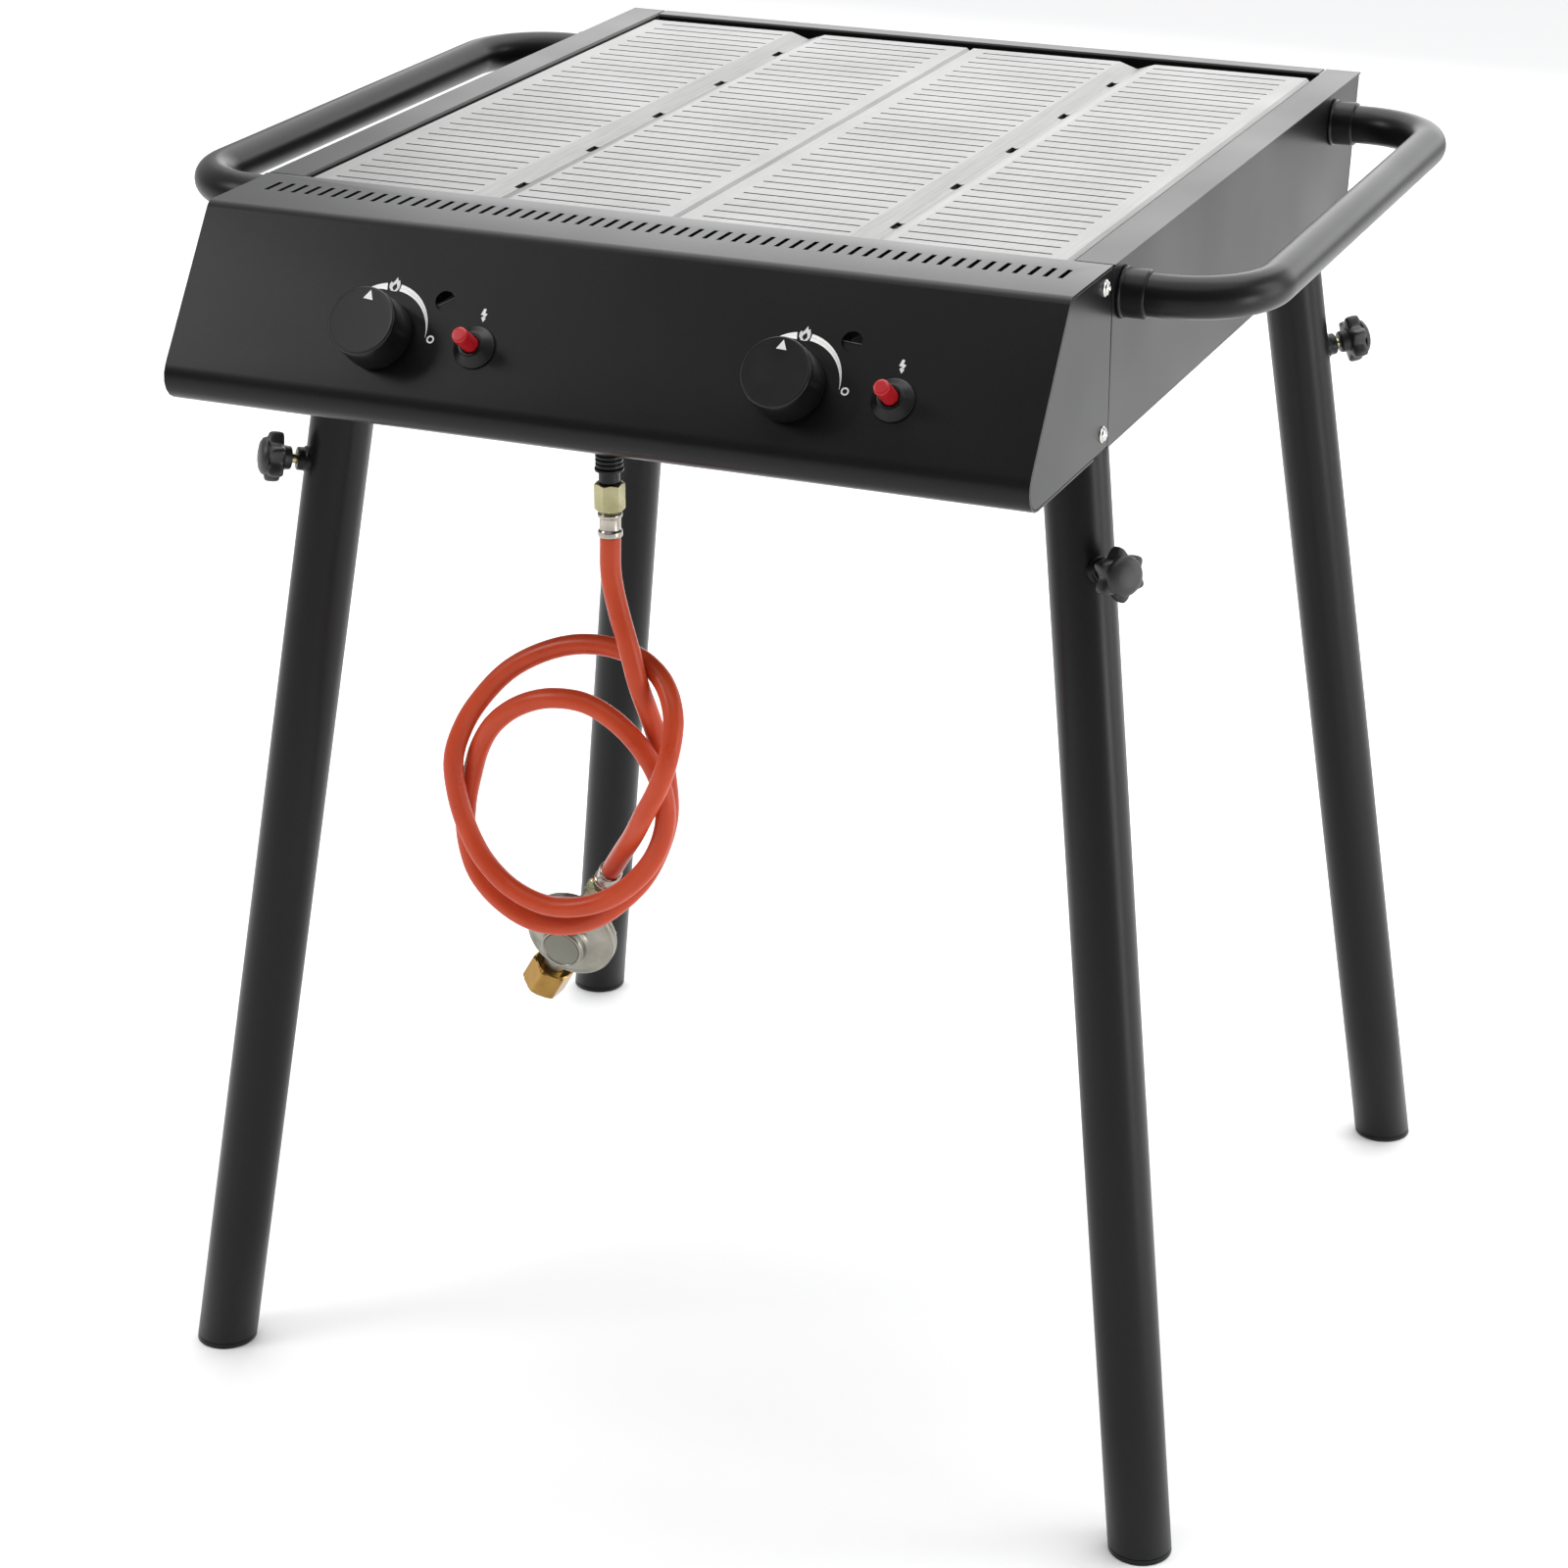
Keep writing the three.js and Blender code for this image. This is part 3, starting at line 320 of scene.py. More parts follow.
@dataclass(frozen=True)
class Workshop:
    """Turns surfaces and CAD nodes into finished pieces that ride on their bodies."""

    datum: Datum

    def piece(
        self,
        name: str,
        surface: Surface,
        finish: "Finish",
        body: str = GRILL,
        replaces: Iterable[str] = (),
        crease: float = 38,
    ) -> bpy.types.Object:
        """Makes one piece from a surface.

        Args:
            name: The piece's name.
            surface: Its grids, in body millimetres.
            finish: The material it is dressed in.
            body: The CAD body that it rides on.
            replaces: The CAD nodes that it stands for.
            crease: Edges that turn by more degrees than this stay sharp.

        Returns:
            The new object.
        """
        mesh = bpy.data.meshes.new(name)
        vertices = self.datum.metres(np.concatenate(surface.vertices))
        mesh.from_pydata(vertices.tolist(), [], surface.faces)
        shape = bmesh.new()
        shape.from_mesh(mesh)
        bmesh.ops.remove_doubles(shape, verts=shape.verts, dist=2e-6)
        bmesh.ops.dissolve_degenerate(shape, edges=shape.edges, dist=1e-7)
        bmesh.ops.recalc_face_normals(shape, faces=shape.faces)
        shape.to_mesh(mesh)
        shape.free()
        return self.dress(name, mesh, finish, body, replaces, crease)

    def sheet_copy(
        self,
        node: str,
        finish: "Finish",
        body: str = GRILL,
        edge: float = 0.0,
        crease: float = 24,
    ) -> bpy.types.Object:
        """Makes a piece from a copy of a CAD node, with its triangles merged and its edges rounded.

        Args:
            node: The CAD node.
            finish: The material it is dressed in.
            body: The CAD body that it rides on.
            edge: The width in millimetres of the round on each edge, or 0 for none.
            crease: Edges that turn by more degrees than this count as edges.

        Returns:
            The new object, which stands for the node.
        """
        mesh = bpy.data.objects[node].data.copy()
        mesh.name = node + "_finished"
        shape = bmesh.new()
        shape.from_mesh(mesh)
        bmesh.ops.remove_doubles(shape, verts=shape.verts, dist=2e-6)
        bmesh.ops.dissolve_limit(
            shape, angle_limit=math.radians(0.8), verts=shape.verts, edges=shape.edges, delimit=set()
        )
        shape.to_mesh(mesh)
        shape.free()
        made = self.dress(mesh.name, mesh, finish, body, [node], crease)
        if edge:
            bevel = made.modifiers.new("edge_round", "BEVEL")
            bevel.width = edge * MM
            bevel.segments = 2
            bevel.limit_method = "ANGLE"
            bevel.angle_limit = math.radians(crease)
            bevel.harden_normals = True
            bevel.use_clamp_overlap = True
        return made

    def dress(
        self,
        name: str,
        mesh: bpy.types.Mesh,
        finish: "Finish",
        body: str,
        replaces: Iterable[str],
        crease: float,
    ) -> bpy.types.Object:
        """Links a mesh as a piece, shades and dresses it, and makes it ride.

        Args:
            name: The piece's name.
            mesh: Its mesh, already in the frame's metres.
            finish: The material it is dressed in.
            body: The CAD body that it rides on.
            replaces: The CAD nodes that it stands for.
            crease: Edges that turn by more degrees than this stay sharp.

        Returns:
            The new object.
        """
        mesh.materials.clear()
        mesh.materials.append(finish.material())
        mesh.shade_smooth()
        mesh.set_sharp_from_angle(angle=math.radians(crease))
        made = bpy.data.objects.new(name, mesh)
        bpy.context.scene.collection.objects.link(made)
        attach(made, body)
        nodes = list(replaces)
        if nodes:
            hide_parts(*nodes)
        LOG.info("%s rides on %s, %d vertices", name, body, len(mesh.vertices))
        return made


# --------------------------------------------------------------------------------------------------
# Finishes
# --------------------------------------------------------------------------------------------------


def linear(hex_colour: str) -> tuple[float, float, float, float]:
    """Turns an sRGB hex colour such as "#1c1c1d" into linear light with full alpha."""
    channels = [int(hex_colour[i : i + 2], 16) / 255 for i in (1, 3, 5)]
    return (*[c / 12.92 if c <= 0.04045 else ((c + 0.055) / 1.055) ** 2.4 for c in channels], 1.0)


def per_metre(size_mm: float) -> float:
    """The scale of a texture on metre coordinates whose features are this many millimetres across."""
    return 1 / (size_mm * MM)


def add_node(
    tree: bpy.types.NodeTree, kind: str, inputs: dict[Any, Any] | None = None, **settings: Any
) -> Any:
    """Adds a shader node with its settings, its inputs' values and its links.

    Args:
        tree: The material's node tree.
        kind: The node's class, such as "ShaderNodeBump".
        inputs: For each input's name or number, a value or the output socket that it is linked
            from.
        **settings: The node's own properties.

    Returns:
        The new node.
    """
    made = tree.nodes.new(kind)
    for name, value in settings.items():
        setattr(made, name, value)
    for key, value in (inputs or {}).items():
        if isinstance(value, bpy.types.NodeSocket):
            tree.links.new(value, made.inputs[key])
        else:
            made.inputs[key].default_value = value
    return made


@dataclass(frozen=True)
class Finish:
    """A surface finish. Its subclasses add the pattern that the way it is made leaves behind."""

    name: str
    slot: str
    colour: str
    roughness: float
    metallic: float = 0.0
    ior: float = 1.5
    specular: float = 0.5
    coat: float = 0.0
    coat_roughness: float = 0.1

    def material(self) -> bpy.types.Material:
        """Returns the finish's material, which is made the first time that it is asked for."""
        known = bpy.data.materials.get(self.name)
        if known:
            return known
        made = bpy.data.materials.new(self.name)
        made.use_nodes = True
        tree = made.node_tree
        shader = tree.nodes["Principled BSDF"]
        shader.inputs["Base Color"].default_value = linear(self.colour)
        shader.inputs["Roughness"].default_value = self.roughness
        shader.inputs["Metallic"].default_value = self.metallic
        shader.inputs["Specular IOR Level"].default_value = self.specular
        shader.inputs["Coat Weight"].default_value = self.coat
        shader.inputs["Coat Roughness"].default_value = self.coat_roughness
        if not self.metallic:
            shader.inputs["IOR"].default_value = self.ior
        self.pattern(tree, shader)
        return made

    def pattern(self, tree: bpy.types.NodeTree, shader: Any) -> None:
        """Adds nothing: a plain finish has no pattern."""

    def coordinates(self, tree: bpy.types.NodeTree, stretch: Sequence[float] = (1, 1, 1)) -> Any:
        """Object coordinates, in metres in the frame, scaled along each axis.

        Args:
            tree: The material's node tree.
            stretch: The scale along x, y and z.

        Returns:
            The output socket of the coordinates.
        """
        place = add_node(tree, "ShaderNodeTexCoord")
        mapped = add_node(
            tree, "ShaderNodeMapping", {"Vector": place.outputs["Object"], "Scale": tuple(stretch)}
        )
        return mapped.outputs["Vector"]

    def shades(self, tree: bpy.types.NodeTree, factor: Any, dark: str, light: str) -> Any:
        """A colour that runs from dark to light with a factor.

        Args:
            tree: The material's node tree.
            factor: The output socket that drives it.
            dark: The sRGB hex colour at 0.3 and below.
            light: The sRGB hex colour at 0.7 and above.

        Returns:
            The output socket of the colour.
        """
        ramp = add_node(tree, "ShaderNodeValToRGB", {"Fac": factor})
        ramp.color_ramp.elements[0].position = 0.3
        ramp.color_ramp.elements[0].color = linear(dark)
        ramp.color_ramp.elements[1].position = 0.7
        ramp.color_ramp.elements[1].color = linear(light)
        return ramp.outputs["Color"]

    def between(self, tree: bpy.types.NodeTree, factor: Any, low: float, high: float) -> Any:
        """A number that runs from low to high as a factor runs from 0.25 to 0.75."""
        ranged = add_node(
            tree,
            "ShaderNodeMapRange",
            {"Value": factor, "From Min": 0.25, "From Max": 0.75, "To Min": low, "To Max": high},
        )
        return ranged.outputs["Result"]


@dataclass(frozen=True)
class PowderCoat(Finish):
    """Polyester powder baked on steel: satin, with an orange peel a millimetre or two across."""

    lighter: str = "#1d1d1e"
    peel_mm: float = 1.6
    peel_depth: float = 0.05

    def pattern(self, tree: bpy.types.NodeTree, shader: Any) -> None:
        """Adds the peel as a bump, a slow drift of gloss, and a speckle that is coarse enough to show."""
        place = self.coordinates(tree)
        peel = add_node(
            tree, "ShaderNodeTexNoise", {"Vector": place, "Scale": per_metre(self.peel_mm), "Detail": 3.0}
        )
        drift = add_node(
            tree, "ShaderNodeTexNoise", {"Vector": place, "Scale": per_metre(170), "Detail": 2.0}
        )
        colour = self.shades(tree, peel.outputs["Fac"], self.colour, self.lighter)
        gloss = self.between(tree, drift.outputs["Fac"], self.roughness - 0.04, self.roughness + 0.05)
        bump = add_node(
            tree,
            "ShaderNodeBump",
            {"Height": peel.outputs["Fac"], "Strength": 0.35, "Distance": self.peel_depth * MM},
        )
        tree.links.new(colour, shader.inputs["Base Color"])
        tree.links.new(gloss, shader.inputs["Roughness"])
        tree.links.new(bump.outputs["Normal"], shader.inputs["Normal"])


@dataclass(frozen=True)
class BrushedSteel(Finish):
    """Cold-rolled stainless sheet with a fine belt grain along the plate, a little duller in patches."""

    lighter: str = "#e4e4e2"
    grain_mm: float = 0.9
    stroke_mm: float = 60.0

    def pattern(self, tree: bpy.types.NodeTree, shader: Any) -> None:
        """Adds strokes along y: noise squeezed across the grain, in colour, gloss and a shallow bump."""
        place = self.coordinates(tree, (per_metre(self.grain_mm), per_metre(self.stroke_mm), 60))
        strokes = add_node(tree, "ShaderNodeTexNoise", {"Vector": place, "Scale": 1.0, "Detail": 4.0})
        cloud = add_node(
            tree,
            "ShaderNodeTexNoise",
            {"Vector": self.coordinates(tree), "Scale": per_metre(90), "Detail": 3.0},
        )
        colour = self.shades(tree, strokes.outputs["Fac"], self.colour, self.lighter)
        blend = add_node(
            tree,
            "ShaderNodeMix",
            {0: 0.5, 2: strokes.outputs["Fac"], 3: cloud.outputs["Fac"]},
            data_type="FLOAT",
        )
        gloss = self.between(tree, blend.outputs[0], self.roughness - 0.06, self.roughness + 0.08)
        bump = add_node(
            tree,
            "ShaderNodeBump",
            {"Height": strokes.outputs["Fac"], "Strength": 0.12, "Distance": 0.03 * MM},
        )
        tree.links.new(colour, shader.inputs["Base Color"])
        tree.links.new(gloss, shader.inputs["Roughness"])
        tree.links.new(bump.outputs["Normal"], shader.inputs["Normal"])


@dataclass(frozen=True)
class ZincSpangle(Finish):
    """Hot-dip galvanised sheet: flat crystals a centimetre across, each a slightly different grey."""

    lighter: str = "#b4b7b8"
    crystal_mm: float = 9.0

    def pattern(self, tree: bpy.types.NodeTree, shader: Any) -> None:
        """Adds the crystals as cells that differ in colour and gloss."""
        place = self.coordinates(tree)
        cells = add_node(
            tree, "ShaderNodeTexVoronoi", {"Vector": place, "Scale": per_metre(self.crystal_mm)}
        )
        grey = add_node(tree, "ShaderNodeRGBToBW", {"Color": cells.outputs["Color"]})
        colour = self.shades(tree, grey.outputs["Val"], self.colour, self.lighter)
        gloss = self.between(tree, grey.outputs["Val"], self.roughness - 0.08, self.roughness + 0.1)
        tree.links.new(colour, shader.inputs["Base Color"])
        tree.links.new(gloss, shader.inputs["Roughness"])


@dataclass(frozen=True)
class GrainedMetal(Finish):
    """Cast, plated or machined metal: a fine even tooth with a slow drift of tone."""

    lighter: str = "#b5b2a8"
    tooth_mm: float = 0.8
    tooth_depth: float = 0.08

    def pattern(self, tree: bpy.types.NodeTree, shader: Any) -> None:
        """Adds the tooth as a bump and the drift as colour and gloss."""
        place = self.coordinates(tree)
        tooth = add_node(
            tree, "ShaderNodeTexNoise", {"Vector": place, "Scale": per_metre(self.tooth_mm), "Detail": 2.0}
        )
        drift = add_node(tree, "ShaderNodeTexNoise", {"Vector": place, "Scale": per_metre(14), "Detail": 3.0})
        colour = self.shades(tree, drift.outputs["Fac"], self.colour, self.lighter)
        gloss = self.between(tree, drift.outputs["Fac"], self.roughness - 0.05, self.roughness + 0.07)
        bump = add_node(
            tree,
            "ShaderNodeBump",
            {"Height": tooth.outputs["Fac"], "Strength": 0.3, "Distance": self.tooth_depth * MM},
        )
        tree.links.new(colour, shader.inputs["Base Color"])
        tree.links.new(gloss, shader.inputs["Roughness"])
        tree.links.new(bump.outputs["Normal"], shader.inputs["Normal"])


@dataclass(frozen=True)
class Moulded(Finish):
    """Injection-moulded plastic or extruded rubber: a fine spark-eroded texture and a soft drift of gloss."""

    lighter: str = "#202021"
    texture_mm: float = 0.9
    texture_depth: float = 0.04

    def pattern(self, tree: bpy.types.NodeTree, shader: Any) -> None:
        """Adds the moulded texture as a bump, and the drift as colour and gloss."""
        place = self.coordinates(tree)
        grain = add_node(
            tree, "ShaderNodeTexNoise", {"Vector": place, "Scale": per_metre(self.texture_mm), "Detail": 2.0}
        )
        drift = add_node(tree, "ShaderNodeTexNoise", {"Vector": place, "Scale": per_metre(35), "Detail": 3.0})
        colour = self.shades(tree, drift.outputs["Fac"], self.colour, self.lighter)
        gloss = self.between(tree, drift.outputs["Fac"], self.roughness - 0.04, self.roughness + 0.05)
        bump = add_node(
            tree,
            "ShaderNodeBump",
            {"Height": grain.outputs["Fac"], "Strength": 0.25, "Distance": self.texture_depth * MM},
        )
        tree.links.new(colour, shader.inputs["Base Color"])
        tree.links.new(gloss, shader.inputs["Roughness"])
        tree.links.new(bump.outputs["Normal"], shader.inputs["Normal"])


# Satin black polyester powder on the body, legs and handles; the glancing light turns it grey.
POWDER = PowderCoat(
    "black_polyester_powder", "black_powder", "#0e0e0f", 0.33, specular=0.23, lighter="#131314"
)
# Belt-grained stainless steel on the cooking plates.
PLATE_STEEL = BrushedSteel("belt_grained_stainless", "stainless", "#747473", 0.38, 1.0, lighter="#8a8a88")
# Smooth stainless tube, heat-dulled, on the burners.
BURNER_STEEL = GrainedMetal("dulled_burner_steel", "stainless", "#aba8a2", 0.38, 1.0, lighter="#c4c1ba")
# Bare grey steel on the shutter's folded edge, lighter than the powder round it: the fold is real, and its
# lighter colour is a painted highlight along it.
PAINTED_HIGHLIGHT_STEEL = GrainedMetal("heat_dulled_steel_edge", "satin_steel", "#56565a", 0.35, 1.0, lighter="#6c6c6e")
# Galvanised sheet on what is hidden or slides out.
ZINC = ZincSpangle("hot_dip_galvanised_sheet", "galvanised", "#9a9d9f", 0.42, 0.9)
# Bead-blasted zinc-aluminium die casting on the regulator and the gas rail.
CASTING = GrainedMetal("bead_blasted_die_casting", "cast_aluminium", "#87847a", 0.3, 0.95, lighter="#a09c91")
# Turned brass, a little tarnished.
BRASS = GrainedMetal("turned_brass", "brass", "#94703a", 0.2, 1.0, lighter="#b08c4e", tooth_depth=0.02)
# Passivated zinc with its faint yellow-green tint on nuts and studs.
PLATING = GrainedMetal("yellow_passivated_zinc", "plated_steel", "#99946f", 0.2, 1.0, lighter="#b4ae8a")
# Bright zinc-plated crimp on the hose's ferrules.
CRIMP = GrainedMetal("bright_zinc_crimp", "satin_steel", "#9b958b", 0.2, 1.0, lighter="#b5afa5")
# Nickel-plated pan-head screws.
SCREW_STEEL = GrainedMetal("bright_screw_head", "plated_steel", "#b0afab", 0.22, 1.0, lighter="#c2c1bd")
# Duller, greyer nylon on the clamps' star knobs, which scatters more light.
KNOB_NYLON = Moulded(
    "grey_black_nylon_knob", "black_plastic", "#1c1c1d", 0.42, specular=0.5, lighter="#242425"
)
# Glass-filled nylon on the knobs and the collars: nearly black, with a satin skin.
NYLON = Moulded(
    "black_glass_filled_nylon", "black_plastic", "#0c0c0d", 0.33, specular=0.28, lighter="#111112"
)
# Gloss-moulded red ABS on the igniter's push button.
RED_ABS = Moulded("red_abs", "red_plastic", "#a8161f", 0.3, lighter="#b51b25", texture_depth=0.02)
# Extruded gas hose of orange-red rubber, with a satin bloom.
HOSE_RUBBER = Moulded(
    "orange_gas_hose", "orange_rubber", "#bd4325", 0.3, specular=0.2, lighter="#c74c2c", texture_mm=1.4
)
# Glazed alumina on the spark electrodes.
ALUMINA = Moulded("glazed_alumina", "ceramic", "#ded9cc", 0.22, lighter="#e8e4d8")
# Pad-printed white ink, slightly chalky.
INK = Moulded("white_pad_print", "black_plastic", "#dcdcda", 0.5, lighter="#e6e6e4", texture_depth=0.01)
# A vinyl disc that covers the regulator's spring housing.
LABEL = Moulded("matt_grey_label", "cast_aluminium", "#77786a", 0.4, lighter="#84857a", texture_depth=0.01)


# --------------------------------------------------------------------------------------------------
# Stage
# --------------------------------------------------------------------------------------------------


@dataclass(frozen=True)
class Lamp:
    """A soft area light that faces a point."""

    name: str
    place: tuple[float, float, float]
    aim: tuple[float, float, float]
    width: float
    height: float
    watts: float

    def build(self) -> None:
        """Adds the light to the scene."""
        data = bpy.data.lights.new(self.name, "AREA")
        data.shape = "RECTANGLE"
        data.size, data.size_y = self.width, self.height
        data.energy = self.watts
        lamp = bpy.data.objects.new(self.name, data)
        lamp.location = self.place
        direction = Vector(self.aim) - Vector(self.place)
        lamp.rotation_mode = "QUATERNION"
        lamp.rotation_quaternion = direction.to_track_quat("-Z", "Y")
        lamp.visible_camera = False
        bpy.context.scene.collection.objects.link(lamp)


@dataclass(frozen=True)
class Studio:
    """The camera, the pale floor and the soft light."""

    eye: tuple[float, float, float] = (1.0879, -2.6615, 1.6679)
    target: tuple[float, float, float] = (-0.01955, -0.01358, 0.44439)
    roll_deg: float = 0.1
    focal_mm: float = 87.75
    sensor_mm: float = 36.0
    floor_reach: float = 14.0
    sky: str = "#f1f2f4"
    sky_front: float = 0.2
    sky_back: float = 0.75
    sun_strength: float = 1.7
    sun_angle_deg: float = 70.0

    def camera(self) -> None:
        """Adds the camera: it looks from the eye to the target, and is rolled a little about its own axis."""
        data = bpy.data.cameras.new("camera")
        data.lens, data.sensor_width = self.focal_mm, self.sensor_mm
        data.clip_start, data.clip_end = 0.05, 60
        made = bpy.data.objects.new("camera", data)
        made.location = self.eye
        made.rotation_mode = "QUATERNION"
        look = (Vector(self.target) - Vector(self.eye)).to_track_quat("-Z", "Y")
        roll = Vector((0, 0, 1)).rotation_difference(Vector((0, 0, 1)))
        roll.rotate(Vector((0, 1, 0)).rotation_difference(
            Vector((-math.sin(math.radians(self.roll_deg)), math.cos(math.radians(self.roll_deg)), 0))
        ))
        made.rotation_quaternion = look @ roll
        bpy.context.scene.collection.objects.link(made)
        bpy.context.scene.camera = made

    def floor(self) -> None:
        """Adds the floor, a square of plain pale vinyl that reaches well past the view."""
        reach = self.floor_reach
        mesh = bpy.data.meshes.new("studio_floor")
        corners = [(-reach, -reach, 0), (reach, -reach, 0), (reach, reach, 0), (-reach, reach, 0)]
        mesh.from_pydata(corners, [], [(0, 1, 2, 3)])
        paper = Finish("pale_studio_floor", "", "#f4f4f4", 0.7, specular=0.2)
        mesh.materials.append(paper.material())
        made = bpy.data.objects.new("studio_floor", mesh)
        bpy.context.scene.collection.objects.link(made)

    def light(self) -> None:
        """Adds the sky, which is dimmer in front, the soft boxes and a silk overhead."""
        world = bpy.data.worlds.new("studio_sky")
        bpy.context.scene.world = world
        world.use_nodes = True
        background = world.node_tree.nodes["Background"]
        background.inputs["Color"].default_value = linear(self.sky)
        tree = world.node_tree
        place = add_node(tree, "ShaderNodeTexCoord")
        parts = add_node(tree, "ShaderNodeSeparateXYZ", {"Vector": place.outputs["Generated"]})
        depth = add_node(
            tree,
            "ShaderNodeMapRange",
            {
                "Value": parts.outputs["Y"], "From Min": -0.8, "From Max": 0.6,
                "To Min": self.sky_front, "To Max": self.sky_back,
            },
            interpolation_type="SMOOTHSTEP",
        )
        tree.links.new(depth.outputs["Result"], background.inputs["Strength"])
        lamps = [
            Lamp("overhead_box", (-0.3, 1.4, 3.0), (0, 0.1, 0.6), 3.2, 2.4, 50),
            Lamp("back_box", (0.2, 4.4, 1.9), (0, 0, 0.8), 6.0, 2.0, 84),
            Lamp("right_box", (3.0, 0.9, 1.5), (0, 0, 0.6), 1.2, 2.6, 34),
            Lamp("right_low_box", (2.7, -0.5, 0.5), (0.3, 0.0, 0.45), 0.6, 1.0, 12),
            Lamp("front_left_box", (-2.6, -2.1, 2.8), (0, -0.2, 0.8), 1.4, 1.2, 44),
        ]
        for lamp in lamps:
            lamp.build()
        sun = bpy.data.lights.new("overhead_silk", "SUN")
        sun.energy, sun.angle = self.sun_strength, math.radians(self.sun_angle_deg)
        silk = bpy.data.objects.new("overhead_silk", sun)
        bpy.context.scene.collection.objects.link(silk)
        bpy.context.scene.view_settings.view_transform = "Standard"


# --------------------------------------------------------------------------------------------------
# Hose and regulator
# --------------------------------------------------------------------------------------------------


def hex_radius(angle: Array, apothem: float) -> Array:
    """The distance from a hexagon's centre to its side at an angle: apothem / cos of the angle to a flat."""
    return apothem / np.cos((angle % (TAU / 6)) - TAU / 12)


def hex_nut(
    basis: Basis, flats: float, length: float, chamfer: float = 1.4, bore: float = 0.0, turn_deg: float = 0.0
) -> Surface:
    """A hexagonal nut whose corners are turned off at both ends.

    At each height the radius is the smaller of the hexagon's own and a cone that starts at the
    flats' circle and widens by 1.7 mm for each millimetre from the end.

    Args:
        basis: Its axis is z, and the nut starts at z = 0.
        flats: The size across flats.
        length: The nut's length.
        chamfer: How far from each end the cone reaches.
        bore: The radius of a hole from end to end, or 0 for a solid nut.
        turn_deg: How far the flats are turned about the axis.

    Returns:
        The closed surface.
    """
    angle = np.linspace(0, TAU, 72, endpoint=False)
    hexagon = hex_radius(angle - math.radians(turn_deg), flats / 2)[None]
    near = np.linspace(0, chamfer, 4)
    z = np.concatenate([near, length - near[::-1]])[:, None]
    depth = np.minimum(z, length - z)
    r = np.minimum(hexagon, flats / 2 - 0.7 + 1.7 * depth)
    rows = np.stack([r * np.cos(angle), r * np.sin(angle), z + 0 * angle], axis=-1)
    low = turned_grid(np.array([[max(bore, 0.0), 0.0]]), 72)
    high = turned_grid(np.array([[max(bore, 0.0), length]]), 72)
    grid = np.concatenate([low, rows, high])
    return Surface().add(basis.place(grid), wrap_rows=bore > 0, caps=False)


